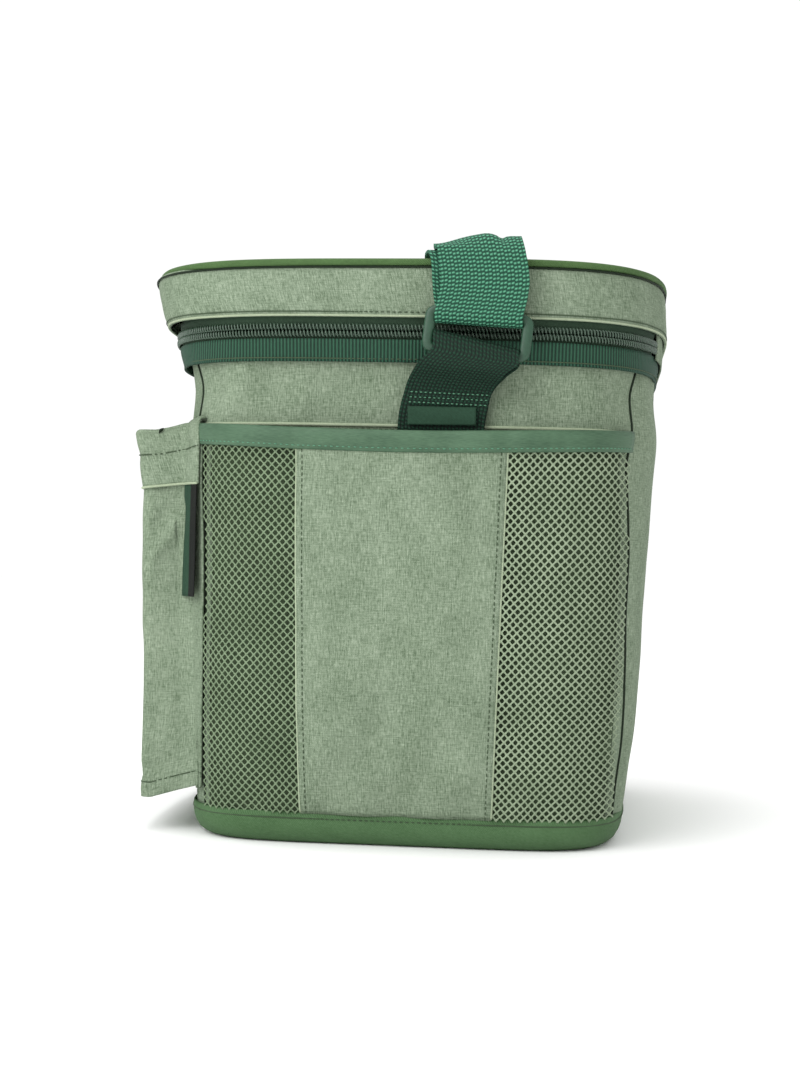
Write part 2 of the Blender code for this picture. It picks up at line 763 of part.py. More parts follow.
def strap_on_lid():
    """The strap lies along the lid, and its spare length is folded into a flat stack."""
    low = STRAP_LEVEL - WEBBING_THICK / 2
    high = STRAP_LEVEL + WEBBING_THICK / 2
    left = STRAP_X - WEBBING_WIDTH / 2
    right = STRAP_X + WEBBING_WIDTH / 2
    start, stop, bottom, top = FOLDS
    box("strap_lid_front", "webbing", (left, -STRAP_REACH, low), (right, start - GAP, high))
    box("strap_folds", "webbing", (left, start, bottom), (right, stop, top))
    box("strap_lid_rear", "webbing", (left, stop + GAP, low), (right, STRAP_REACH, high))


def strap_adjuster():
    """A three-bar slide: the webbing goes under its two end bars and over its middle bar."""
    width, length, height = ADJUSTER_SIZE
    bottom = LID_TOP + 0.0004
    x, y = STRAP_X, ADJUSTER_Y
    obj = box(
        "strap_adjuster",
        "ring_plastic",
        (x - width / 2, y - length / 2, bottom),
        (x + width / 2, y + length / 2, bottom + height),
    )
    round_edges(obj, 0.0010, 2)
    inner = WEBBING_WIDTH / 2 + 0.0006
    slot_low = STRAP_LEVEL - WEBBING_THICK / 2 - 0.0005
    slot_high = STRAP_LEVEL + WEBBING_THICK / 2 + 0.0005
    bar = 0.0040
    cuts = {
        "webbing_slot": ((-inner, -length, slot_low), (inner, length, slot_high)),
        "top_window": ((-inner, -length / 2 + bar, slot_low), (inner, length / 2 - bar, 1.0)),
        "bottom_window_a": ((-inner, -length, 0.0), (inner, -bar / 2, slot_high)),
        "bottom_window_b": ((-inner, bar / 2, 0.0), (inner, length, slot_high)),
    }
    for name, (low, high) in cuts.items():
        bm = bmesh.new()
        bmesh.ops.create_cube(bm, size=1.0)
        bmesh.ops.scale(bm, verts=bm.verts, vec=Vector(high) - Vector(low))
        bmesh.ops.translate(bm, verts=bm.verts, vec=(Vector(low) + Vector(high)) / 2 + Vector((x, y, 0.0)))
        mesh = bpy.data.meshes.new(name)
        bm.to_mesh(mesh)
        bm.free()
        cut = obj.modifiers.new(name, "BOOLEAN")
        cut.operation = "DIFFERENCE"
        cut.object = cutter(name, mesh)


def anchor_label():
    """The blank woven label sewn across the foot of the front tab."""
    wide, thick, tall = TAB_LABEL
    y, z = -0.1466, 0.1875
    box("tab_label", "label", (TAB_X - wide / 2, y - thick, z), (TAB_X + wide / 2, y, z + tall))


def main():
    clear_scene()
    collection(COLLECTION)
    collection("cutters")
    body_walls()
    base_panel()
    ribbon()
    zip_strips()
    hinge_strip()
    lid()
    for end, side in (("front", -1), ("rear", 1)):
        end_pocket(end, side)
        strap_end(end, side)
    side_pocket()
    pocket_flap()
    corner_label()
    strap_on_lid()
    strap_adjuster()
    anchor_label()
    slider("zip_slider_front", "zip_pull_front", -1)
    slider("zip_slider_rear", "zip_pull_rear", 1)


main()
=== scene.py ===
"""The looks of the insulated bag: fabric, webbing, net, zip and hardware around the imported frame.

Units are metres. X runs across the ends of the bag, Y along its length, Z up; the lid is hinged on +X.
Every modelled surface carries a UV map in metres (along, up), which the weaves are drawn in.
"""
import math

import bmesh
import bpy
import numpy as np
from mathutils import Matrix, Vector, noise


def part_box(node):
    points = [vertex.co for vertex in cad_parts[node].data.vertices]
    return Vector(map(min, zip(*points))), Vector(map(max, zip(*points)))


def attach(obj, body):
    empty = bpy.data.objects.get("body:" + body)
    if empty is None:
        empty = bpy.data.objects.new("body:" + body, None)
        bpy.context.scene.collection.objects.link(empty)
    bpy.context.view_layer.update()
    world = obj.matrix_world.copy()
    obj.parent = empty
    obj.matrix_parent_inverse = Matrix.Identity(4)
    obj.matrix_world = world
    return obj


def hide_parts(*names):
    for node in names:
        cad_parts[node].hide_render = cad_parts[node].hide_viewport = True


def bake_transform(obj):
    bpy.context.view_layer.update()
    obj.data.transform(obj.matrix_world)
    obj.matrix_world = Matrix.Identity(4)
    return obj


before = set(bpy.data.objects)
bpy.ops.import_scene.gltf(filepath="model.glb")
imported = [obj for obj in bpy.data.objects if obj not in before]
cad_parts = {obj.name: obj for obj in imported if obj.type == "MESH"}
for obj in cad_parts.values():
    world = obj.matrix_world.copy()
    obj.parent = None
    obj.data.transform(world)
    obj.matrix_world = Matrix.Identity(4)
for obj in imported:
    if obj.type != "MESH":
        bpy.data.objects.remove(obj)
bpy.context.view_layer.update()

# ---------------------------------------------------------------- places taken from the frame

shell_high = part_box("outer_shell")[1]
ribbon_low, ribbon_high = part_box("top_ribbon")
skirt_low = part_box("lid_skirt")[0]
lid_top_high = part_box("lid_top")[1]
piping_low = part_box("lid_piping")[0]
binding_low, binding_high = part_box("front_pocket_binding")
pocket_low, pocket_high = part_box("side_pocket")
flap_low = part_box("side_pocket_flap")[0]
ring_low, ring_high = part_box("front_ring")

# Plan of the walls: height, half width, half length and squareness (a superellipse's power).
BODY = np.array([
    (0.000, 0.0985, 0.1330, 6.0),
    (0.015, 0.1000, 0.1345, 6.0),
    (0.110, 0.1040, 0.1385, 5.6),
    (0.170, 0.1075, 0.1405, 5.2),
    (0.205, 0.1092, 0.1425, 4.8),
    (0.2245, 0.1118, 0.1453, 4.2),
])
LID = np.array([
    (0.2347, 0.1170, 0.1480, 4.1),
    (0.2460, 0.1180, 0.1490, 4.0),
    (0.2581, 0.1203, 0.1500, 3.9),
])
LID_LEAN = -0.0050
LID_TILT = 0.009
# Where the end pockets stop, as shares of the half width: height, towards -X, towards +X.
EDGE_SHARES = np.array([
    (0.0236, 0.890, 0.950),
    (0.0670, 0.875, 0.952),
    (0.1326, 0.853, 0.939),
    (0.1650, 0.855, 0.913),
    (0.1720, 0.849, 0.906),
])
ZIP = (0.1156, 0.1474, 4.15)
ZIP_MIDDLE = 0.2284
HINGE_HALF = 0.090
FABRIC = 0.0011
PITCH = 0.0026
THREAD = 0.00022
BAR_SIDES = 6
OUTLINE_STEPS = 2048


def sizes(levels, z):
    return [np.interp(z, levels[:, 0], levels[:, k]) for k in (1, 2, 3)]


def lean(z):
    return LID_LEAN * lid_share(z)


def spread(*values):
    """Rows of coordinates; a single number stands for a whole row of it."""
    return np.stack(np.broadcast_arrays(*values), -1)


def unit(vectors):
    return vectors / np.linalg.norm(vectors, axis=1, keepdims=True)


def signed_power(value, power):
    return np.sign(value) * np.abs(value) ** power


def ring_points(half_x, half_y, power, count):
    """Points at equal steps round a superellipse, their outward normals and their distance along it.

    They start at the middle of the rear end and go anticlockwise, seen from above.
    """
    t = np.linspace(0, 2 * math.pi, OUTLINE_STEPS + 1) + math.pi / 2
    x = signed_power(np.cos(t), 2 / power) * half_x
    y = signed_power(np.sin(t), 2 / power) * half_y
    run = np.concatenate([[0], np.cumsum(np.hypot(np.diff(x), np.diff(y)))])
    at = np.linspace(0, 1, count) * run[-1]
    px, py = np.interp(at, run, x), np.interp(at, run, y)
    nx = signed_power(px / half_x, power - 1) / half_x
    ny = signed_power(py / half_y, power - 1) / half_y
    size = np.hypot(nx, ny)
    return px, py, nx / size, ny / size, at


def reach(share, half, power):
    """How far out a superellipse is where its other coordinate is at this share of its half width."""
    return half * (1 - np.clip(np.abs(share), 0, 0.9999) ** power) ** (1 / power)


def end_y(x, z):
    half_x, half_y, power = sizes(BODY, z)
    return reach(x / half_x, half_y, power)


def side_x(y, z):
    half_x, half_y, power = sizes(BODY, z)
    return reach(y / half_y, half_x, power)


def on_end(x, z, away, side):
    """Points off an end wall, square to it."""
    half_x, half_y, power = sizes(BODY, z)
    y = end_y(x, z)
    nx = signed_power(x / half_x, power - 1) / half_x
    ny = (y / half_y) ** (power - 1) / half_y
    size = np.hypot(nx, ny)
    return spread(x + away * nx / size, side * (y + away * ny / size), z)


def wander(points, scale, seed, octaves=2):
    """Smooth noise between about -1 and 1 at each point."""
    flat = np.asarray(points, float).reshape(-1, 3) / scale + seed * 17.3
    values = [noise.fractal(Vector(p), 1.0, 2.0, octaves) for p in flat]
    return np.array(values).reshape(np.shape(points)[:-1])


def hill(v, middle, width):
    return np.exp(-((v - middle) / width) ** 2)


def ramp(v, low, high):
    t = np.clip((v - low) / (high - low), 0, 1)
    return t * t * (3 - 2 * t)


# ---------------------------------------------------------------- materials


class Nodes:
    """Builds one material's nodes."""

    def __init__(self, name, roughness=0.85, metallic=0.0, specular=0.5):
        self.material = bpy.data.materials.new(name)
        self.material.use_nodes = True
        self.tree = self.material.node_tree
        self.shader = self.tree.nodes["Principled BSDF"]
        self.shader.inputs["Roughness"].default_value = roughness
        self.shader.inputs["Metallic"].default_value = metallic
        self.shader.inputs["Specular IOR Level"].default_value = specular
        self.uv = self.add("ShaderNodeUVMap").outputs["UV"]

    def add(self, kind, **values):
        node = self.tree.nodes.new(kind)
        for key, value in values.items():
            setattr(node, key, value)
        return node

    def link(self, source, target):
        if isinstance(source, (int, float)):
            target.default_value = source
        else:
            self.tree.links.new(source, target)

    def math(self, operation, *values):
        node = self.add("ShaderNodeMath", operation=operation)
        for value, socket in zip(values, node.inputs):
            self.link(value, socket)
        return node.outputs[0]

    def blend(self, *shares):
        """The sum of pairs of (value, weight)."""
        terms = [self.math("MULTIPLY", value, weight) for value, weight in shares]
        total = terms[0]
        for term in terms[1:]:
            total = self.math("ADD", total, term)
        return total

    def sine(self, coordinate, period):
        """A wave between 0 and 1."""
        wave = self.math("SINE", self.math("MULTIPLY", coordinate, 2 * math.pi / period))
        return self.math("MULTIPLY_ADD", wave, 0.5, 0.5)

    def split(self, vector):
        node = self.add("ShaderNodeSeparateXYZ")
        self.link(vector, node.inputs[0])
        return node.outputs

    def solid(self, kind, output, scale, **settings):
        """A texture in the object's own space."""
        node = self.add(kind)
        self.link(self.add("ShaderNodeTexCoord").outputs["Object"], node.inputs["Vector"])
        node.inputs["Scale"].default_value = scale
        for key, value in settings.items():
            node.inputs[key].default_value = value
        return node.outputs[output]

    def noise(self, per_u, per_v, detail=2.0, roughness=0.5):
        """Noise whose grains are per_u by per_v metres in the UV map."""
        mapping = self.add("ShaderNodeMapping")
        self.link(self.uv, mapping.inputs["Vector"])
        mapping.inputs["Scale"].default_value = (1 / per_u, 1 / per_v, 1.0)
        node = self.add("ShaderNodeTexNoise", noise_dimensions="2D")
        node.inputs["Scale"].default_value = 1.0
        node.inputs["Detail"].default_value = detail
        node.inputs["Roughness"].default_value = roughness
        self.link(mapping.outputs[0], node.inputs["Vector"])
        return node.outputs["Fac"]

    def ramp(self, value, stops):
        node = self.add("ShaderNodeValToRGB")
        self.link(value, node.inputs[0])
        elements = node.color_ramp.elements
        while len(elements) < len(stops):
            elements.new(0.5)
        for element, (position, colour) in zip(elements, stops):
            element.position = position
            element.color = (*colour, 1.0)
        return node.outputs[0]

    def colour(self, value):
        self.link(value, self.shader.inputs["Base Color"])

    def rough(self, value, low, high):
        node = self.add("ShaderNodeMapRange")
        self.link(value, node.inputs["Value"])
        node.inputs["To Min"].default_value = low
        node.inputs["To Max"].default_value = high
        self.link(node.outputs[0], self.shader.inputs["Roughness"])

    def bump(self, height, distance, strength=1.0):
        node = self.add("ShaderNodeBump")
        node.inputs["Distance"].default_value = distance
        node.inputs["Strength"].default_value = strength
        self.link(height, node.inputs["Height"])
        self.link(node.outputs[0], self.shader.inputs["Normal"])


def heather(name, pale, middle, dark):
    """Melange cloth: pale and dark slubs, mostly along the warp, over a plain weave."""
    m = Nodes(name, roughness=0.95, specular=0.12)
    warp = m.noise(0.00048, 0.0050, 3.0, 0.64)
    weft = m.noise(0.0055, 0.00048, 3.0, 0.62)
    fleck = m.noise(0.0010, 0.0013, 2.0, 0.6)
    blotch = m.noise(0.016, 0.026, 2.0)
    mixed = m.blend((warp, 0.42), (weft, 0.24), (fleck, 0.20), (blotch, 0.12))
    m.colour(m.ramp(mixed, [(0.32, dark), (0.50, middle), (0.68, pale)]))
    u, v, _ = m.split(m.uv)
    weave = m.math("MULTIPLY", m.sine(u, 0.0010), m.sine(v, 0.0010))
    m.bump(m.math("ADD", m.math("MULTIPLY", weave, 0.5), mixed), 0.00022, 0.6)
    return m.material


def twill(name, pale, dark, period=0.0011, roughness=0.8, bump=0.0002):
    """Plain coloured cloth with a fine diagonal weave."""
    m = Nodes(name, roughness=roughness, specular=0.2)
    u, v, _ = m.split(m.uv)
    diagonal = m.sine(m.math("ADD", u, v), period)
    grain = m.noise(0.0011, 0.0011, 3.0, 0.65)
    cloud = m.noise(0.018, 0.018, 2.0)
    mixed = m.blend((diagonal, 0.30), (grain, 0.45), (cloud, 0.25))
    m.colour(m.ramp(mixed, [(0.25, dark), (0.75, pale)]))
    m.bump(mixed, bump, 0.7)
    return m.material


def grosgrain(name, pale, dark):
    """Ribbon with ribs up its width and a plain woven edge."""
    m = Nodes(name, roughness=0.7, specular=0.25)
    rib = m.sine(m.split(m.uv)[0], 0.00155)
    grain = m.noise(0.0006, 0.0025, 2.0)
    mixed = m.blend((rib, 0.72), (grain, 0.28))
    m.colour(m.ramp(mixed, [(0.20, dark), (0.80, pale)]))
    m.bump(mixed, 0.00045, 0.9)
    return m.material


def webbing_material(name, pale, dark, ribbed=0.0):
    """Webbing: rows of short slanted ticks, every second column a little behind its neighbours."""
    m = Nodes(name, roughness=0.7, specular=0.22)
    u, v, _ = m.split(m.uv)
    column = 0.00160
    row = 0.00178
    columns = m.math("DIVIDE", m.math("ADD", u, 1.0), column)
    place = m.math("FRACT", columns)
    odd = m.math("FRACT", m.math("MULTIPLY", m.math("FLOOR", columns), 0.5))
    slanted = m.math("ADD", v, m.blend((odd, row * 0.4), (place, -0.00045)))
    tick = m.math("POWER", m.sine(slanted, row), 1.4)
    across = m.math("POWER", m.math("SINE", m.math("MULTIPLY", place, math.pi)), 0.8)
    grain = m.noise(0.0004, 0.0009, 2.0)
    cell = m.math("MULTIPLY", tick, across)
    mixed = m.blend((cell, 0.80 - ribbed * 0.5), (across, ribbed), (grain, 0.20))
    m.colour(m.ramp(mixed, [(0.12, dark), (0.90, pale)]))
    m.bump(mixed, 0.0006, 0.9)
    return m.material


def satin_tape(name, pale, dark):
    """Smooth binding tape, streaked along its length."""
    m = Nodes(name, roughness=0.55, specular=0.3)
    fine = m.noise(0.0030, 0.00045, 2.0)
    cloud = m.noise(0.022, 0.006, 2.0)
    mixed = m.blend((fine, 0.5), (cloud, 0.5))
    m.colour(m.ramp(mixed, [(0.30, dark), (0.70, pale)]))
    m.bump(mixed, 0.00025, 0.5)
    return m.material


def shaded(colour, share):
    return tuple(c * share for c in colour)


def plastic(name, colour, roughness=0.42):
    m = Nodes(name, roughness=roughness, specular=0.45)
    grain = m.solid("ShaderNodeTexNoise", "Fac", 900.0, Detail=3.0)
    m.colour(m.ramp(grain, [(0.35, shaded(colour, 0.82)), (0.65, colour)]))
    m.rough(grain, roughness - 0.06, roughness + 0.08)
    m.bump(grain, 0.00012, 0.4)
    return m.material


def metal(name, colour):
    m = Nodes(name, roughness=0.35, metallic=0.85)
    grain = m.solid("ShaderNodeTexNoise", "Fac", 700.0, Detail=4.0)
    m.colour(m.ramp(grain, [(0.3, shaded(colour, 0.6)), (0.6, colour)]))
    m.rough(grain, 0.28, 0.5)
    m.bump(grain, 0.00005, 0.3)
    return m.material


def film(name, colour):
    """The liner: coated film with a soft, crinkled gloss."""
    m = Nodes(name, roughness=0.32, specular=0.5)
    crinkle = m.noise(0.012, 0.012, 4.0, 0.6)
    m.colour(m.ramp(crinkle, [(0.35, shaded(colour, 0.86)), (0.65, colour)]))
    m.rough(crinkle, 0.24, 0.45)
    m.bump(crinkle, 0.0010, 0.5)
    return m.material


def foam_material(name, colour):
    m = Nodes(name, roughness=0.95, specular=0.2)
    cells = m.solid("ShaderNodeTexVoronoi", "Distance", 900.0)
    m.colour(m.ramp(cells, [(0.1, shaded(colour, 0.8)), (0.6, colour)]))
    m.bump(cells, 0.0003, 0.6)
    return m.material


MAT = {
    "fabric": heather("melange_cloth", (0.310, 0.370, 0.276), (0.176, 0.226, 0.156), (0.068, 0.101, 0.058)),
    "base": twill("base_cloth", (0.088, 0.165, 0.076), (0.038, 0.085, 0.031)),
    "piping": twill("piping_cloth", (0.078, 0.150, 0.050), (0.034, 0.070, 0.022)),
    "binding": satin_tape("binding_tape", (0.068, 0.134, 0.076), (0.036, 0.080, 0.043)),
    "ribbon": grosgrain("ribbed_ribbon", (0.020, 0.080, 0.045), (0.003, 0.018, 0.009)),
    "webbing": webbing_material("strap_webbing", (0.105, 0.360, 0.218), (0.003, 0.038, 0.021)),
    "tab": webbing_material("tab_webbing", (0.008, 0.040, 0.021), (0.001, 0.004, 0.002), 0.3),
    # The net's yarn in two tones of one material: the pale copy for the +X side as lit, the darker copy for the -X
    # side as painted shade.
    "net": twill("net_yarn", (0.335, 0.405, 0.280), (0.150, 0.202, 0.123), 0.0006, 0.9),
    "net_shade": twill("net_yarn_painted_shade", (0.235, 0.310, 0.195), (0.100, 0.145, 0.080), 0.0006, 0.9),
    # Dark sheet behind the nets: painted shade that darkens the net's holes.
    "painted_shade_sheet": twill("net_painted_shade_sheet", (0.066, 0.096, 0.052), (0.030, 0.048, 0.023), 0.0009, 0.95),
    "ring": plastic("ring_plastic", (0.016, 0.060, 0.031)),
    "coil": plastic("zip_coil", (0.050, 0.086, 0.058), 0.26),
    "tape": twill("zip_tape_cloth", (0.032, 0.062, 0.036), (0.012, 0.028, 0.015), 0.0009),
    "metal": metal("zip_metal", (0.075, 0.105, 0.085)),
    "liner": film("liner_film", (0.460, 0.480, 0.470)),
    "foam": foam_material("foam_cells", (0.640, 0.650, 0.640)),
    "board": plastic("base_board", (0.030, 0.032, 0.030)),
    "label": twill("label_cloth", (0.008, 0.010, 0.008), (0.003, 0.004, 0.003), 0.0007),
    "label_back": twill("label_fold_cloth", (0.022, 0.062, 0.036), (0.010, 0.030, 0.016), 0.0007),
    "hook": twill("touch_fastener", (0.026, 0.056, 0.033), (0.008, 0.020, 0.011), 0.0016, 0.95, 0.0006),
    "thread_dark": twill("dark_thread", (0.070, 0.104, 0.058), (0.032, 0.052, 0.027), 0.0004),
    "thread_green": twill("green_thread", (0.130, 0.300, 0.190), (0.060, 0.165, 0.100), 0.0004),
    "edge": twill("pale_edge", (0.400, 0.460, 0.320), (0.230, 0.290, 0.190), 0.0007),
    # Near-black cord: the corner seams, and painted shadow under the piping and in the flap's end folds.
    "seam": twill("seam_and_painted_shadow_cord", (0.014, 0.026, 0.012), (0.004, 0.009, 0.004), 0.0006),
}


# ---------------------------------------------------------------- meshes


def added(name, data):
    """A new object in the scene."""
    obj = bpy.data.objects.new(name, data)
    bpy.context.scene.collection.objects.link(obj)
    return obj


def piece(name, mesh, material, body, nodes=()):
    """An object of the bag that stands for CAD nodes and rides on a body, or on none yet when body is None."""
    obj = added(name, mesh)
    mesh.materials.append(MAT[material])
    mesh.shade_smooth()
    if body:
        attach(obj, body)
    if nodes:
        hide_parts(*nodes)
    return obj


def cloth(name, mesh, material, body, thickness, nodes=(), offset=-1.0):
    """A piece made of a sheet with a thickness, which grows inwards unless offset says otherwise."""
    obj = piece(name, mesh, material, body, nodes)
    solidify = obj.modifiers.new("thickness", "SOLIDIFY")
    solidify.thickness = thickness
    solidify.offset = offset
    return obj


def grid(points, uv, closed=False, flip=False):
    """A mesh of quads from rows of points; the rows of a closed one end at the point they start from."""
    points, uv = np.asarray(points), np.asarray(uv)
    if closed:
        points = points[:, :-1]
    index = np.arange(points.shape[0] * points.shape[1]).reshape(points.shape[:2])
    if closed:
        index = np.concatenate([index, index[:, :1]], 1)
    first, second = slice(None, -1), slice(1, None)
    corners = ((first, first), (first, second), (second, second), (second, first))
    quads = np.stack([index[k] for k in corners], -1).reshape(-1, 4)
    loops = np.stack([uv[k] for k in corners], 2).reshape(-1, 4, 2)
    if flip:
        quads, loops = quads[:, ::-1], loops[:, ::-1]
    return raw_mesh(points.reshape(-1, 3), quads, loops.reshape(-1, 2))


def raw_mesh(verts, quads, loop_uv=None):
    """A mesh from its points and quads; without UVs for the corners, they are made from the points' places."""
    mesh = bpy.data.meshes.new("surface")
    mesh.vertices.add(len(verts))
    mesh.vertices.foreach_set("co", np.asarray(verts, np.float32).ravel())
    mesh.loops.add(quads.size)
    mesh.loops.foreach_set("vertex_index", np.ascontiguousarray(quads, np.int32).ravel())
    mesh.polygons.add(len(quads))
    mesh.polygons.foreach_set("loop_start", np.arange(0, quads.size, quads.shape[1], dtype=np.int32))
    mesh.update(calc_edges=True)
    layer = mesh.uv_layers.new(name="UVMap")
    if loop_uv is None:
        flat = np.asarray(verts, np.float32)[quads.ravel()]
        loop_uv = np.stack([flat[:, 0] + flat[:, 1], flat[:, 2]], -1)
    layer.data.foreach_set("uv", np.asarray(loop_uv, np.float32).ravel())
    mesh.validate()
    return mesh


def round_quads(index):
    """Quads between rings of vertex numbers, one row a ring."""
    after = np.roll(index, -1, 1)
    return np.stack([index[:-1], after[:-1], after[1:], index[1:]], -1).reshape(-1, 4)


def edit(mesh, change=None):
    """Changes a mesh in place and turns all its faces outwards."""
    bm = bmesh.new()
    bm.from_mesh(mesh)
    if change:
        change(bm)
    bmesh.ops.recalc_face_normals(bm, faces=bm.faces)
    bm.to_mesh(mesh)
    bm.free()
    return mesh


def rim_edges(bm, chosen=lambda vert: True):
    return [e for e in bm.edges if e.is_boundary and all(chosen(vert) for vert in e.verts)]


def fill(mesh, chosen, uv=lambda vert: vert.co.xy):
    """Fills the hole between the chosen vertices, with a UV for each of them."""
    def change(bm):
        made = bmesh.ops.holes_fill(bm, edges=rim_edges(bm, chosen))
        layer = bm.loops.layers.uv.active
        for face in made["faces"]:
            for loop in face.loops:
                loop[layer].uv = uv(loop.vert)

    return edit(mesh, change)


def frames_along(path, normals):
    """Unit tangent, side and normal at each point of a path."""
    tangent = unit(np.gradient(path, axis=0))
    side = unit(np.cross(tangent, normals))
    return tangent, side, np.cross(side, tangent)


def distances(path):
    """How far along a path each of its points lies."""
    return np.concatenate([[0], np.cumsum(np.linalg.norm(np.diff(path, axis=0), axis=1))])


def resample(path, step):
    """The path at equal steps, and the distance along it of each."""
    run = distances(path)
    at = np.linspace(0, run[-1], max(2, int(round(run[-1] / step)) + 1))
    return np.stack([np.interp(at, run, path[:, k]) for k in range(path.shape[1])], -1), at


def bars(verts, sections):
    """A mesh of bars with closed ends, from one bar's rings of points after another's."""
    ring = np.arange(sections * BAR_SIDES).reshape(sections, BAR_SIDES)
    first, last = ring[0], ring[-1]
    caps = [first[[3, 2, 1, 0]], first[[0, 5, 4, 3]], last[[0, 1, 2, 3]], last[[3, 4, 5, 0]]]
    one = np.concatenate([round_quads(ring), caps])
    verts = verts.reshape(-1, 3)
    starts = np.arange(0, len(verts), ring.size)
    return raw_mesh(verts, (one[None] + starts[:, None, None]).reshape(-1, 4))


def stitches(name, path, normals, body, material="thread_dark", pitch=PITCH, length=0.62):
    """A row of lock stitches: short rounded threads laid end to end along a path on a surface."""
    normals = np.broadcast_to(np.asarray(normals, float), path.shape)
    both, _ = resample(np.concatenate([path, normals], 1), pitch)
    centre = both[:, :3]
    tangent, side, normal = frames_along(centre, unit(both[:, 3:]))
    s = np.linspace(-1, 1, 5)
    swell = np.sqrt(np.clip(1 - (np.abs(s) * 0.93) ** 4, 0, 1))
    angle = np.arange(BAR_SIDES) * 2 * math.pi / BAR_SIDES
    dip = THREAD * (0.65 - 0.6 * np.abs(s) ** 3)
    local = np.zeros((len(s), BAR_SIDES, 3))
    local[..., 0] = (s * pitch * length / 2)[:, None]
    local[..., 1] = THREAD * 1.15 * swell[:, None] * np.cos(angle)
    local[..., 2] = THREAD * swell[:, None] * np.sin(angle) + dip[:, None]
    axes = np.stack([tangent, side, normal], 1)
    verts = centre[:, None] + np.einsum("vk,nkj->nvj", local.reshape(-1, 3), axes)
    return piece(name, bars(verts, len(s)), material, body)


def tube(path, normals, radius, sides=8, closed=False):
    """A mesh tube along a path, closed into a loop or with its ends filled."""
    if closed:
        wide = np.concatenate([path[-1:], path, path[:1]])
        tangent = unit(wide[2:] - wide[:-2])
        side = unit(np.cross(tangent, normals))
        normal = np.cross(side, tangent)
    else:
        _, side, normal = frames_along(path, normals)
    angle = np.arange(sides) * 2 * math.pi / sides
    radius = np.broadcast_to(np.asarray(radius, float), (len(path),))
    ring = np.cos(angle)[:, None] * side[:, None] + np.sin(angle)[:, None] * normal[:, None]
    verts = (path[:, None] + ring * radius[:, None, None]).reshape(-1, 3)
    index = np.arange(len(verts)).reshape(-1, sides)
    run = distances(path)
    if closed:
        run = np.concatenate([run, run[-1:] + run[1:2]])
        index = np.concatenate([index, index[:1]])
    quads = round_quads(index)
    arc = np.arange(sides + 1) * 2 * math.pi * float(radius[0]) / sides
    corners = ((run[:-1], arc[:-1]), (run[:-1], arc[1:]), (run[1:], arc[1:]), (run[1:], arc[:-1]))
    loops = np.stack([spread(u[:, None], v[None]) for u, v in corners], 2).reshape(-1, 2)
    mesh = raw_mesh(verts, quads, loops)
    return mesh if closed else edit(mesh, lambda bm: bmesh.ops.holes_fill(bm, edges=rim_edges(bm)))


def wall_rings(levels, heights, count, away):
    """Rows of points round a wall, and their UVs. away(u, z, x, y) or a number moves them outwards."""
    rows, uvs = [], []
    first = ring_points(*sizes(levels, heights[0]), count)[4]
    for z in heights:
        x, y, nx, ny, at = ring_points(*sizes(levels, z), count)
        off = away(at, z, x, y) if callable(away) else away
        shift = lean(z) if levels is LID else 0.0
        rows.append(spread(x + off * nx + shift, y + off * ny, z))
        uvs.append(spread(first, z))
    return np.array(rows), np.array(uvs)


def bag_wall(name, heights, away, material, thickness, node):
    """A closed wall of cloth round the bag."""
    mesh = grid(*wall_rings(BODY, heights, 421, away), closed=True)
    cloth(name, mesh, material, "bag", thickness, (node,))


# ---------------------------------------------------------------- body


def fold_field(u, z, x, y):
    """How far the outer cloth stands from its plan: a bulging right side, a pinched neck and soft folds."""
    upright = wander(spread(x, y, z * 0.35), 0.018, 3, 2)
    broad = wander(spread(x, y, z), 0.055, 5, 2)
    neck = hill(z, 0.203, 0.013)
    wall = ramp(z, 0.02, 0.05) * (1 - ramp(z, 0.214, 0.222))
    flat_side = 1 - ramp(np.abs(y), 0.085, 0.128)
    bulge = math.sin(math.pi * min(max((z - 0.004) / 0.222, 0), 1)) ** 0.6
    towards_right = ramp(x, 0.05, 0.09) * flat_side
    right = 0.0050 * towards_right * bulge + 0.0022 * towards_right * hill(z, 0.192, 0.016)
    corner = ramp(np.abs(x), 0.080, 0.098) * ramp(np.abs(y), 0.095, 0.120)
    pinch = -(0.0012 + 0.0022 * corner + 0.0010 * ramp(-x, 0.07, 0.10)) * neck
    seam = -0.0009 * hill(np.abs(x) - seam_x(z, x), 0.0, 0.0024)
    neck_folds = (0.0013 + 0.0011 * ramp(-x, 0.02, 0.07)) * upright * neck
    return neck_folds + 0.0012 * broad * wall + right + pinch + seam


def seam_x(z, way):
    """Where the corner seams stand: beside the end pocket, and a little further out above it."""
    above = ramp(z, 0.172, 0.190)
    left = np.interp(z, EDGE_SHARES[:, 0], EDGE_SHARES[:, 1] + 0.008) * (1 - above) + 0.908 * above
    right = np.interp(z, EDGE_SHARES[:, 0], EDGE_SHARES[:, 2] + 0.006) * (1 - above) + 0.928 * above
    return np.where(np.asarray(way) < 0, left, right) * sizes(BODY, z)[0]


def body_shell():
    heights = np.concatenate([np.linspace(0.0040, 0.180, 54), np.linspace(0.182, shell_high[2], 34)])
    bag_wall("outer_cloth", heights, fold_field, "fabric", FABRIC, "outer_shell")


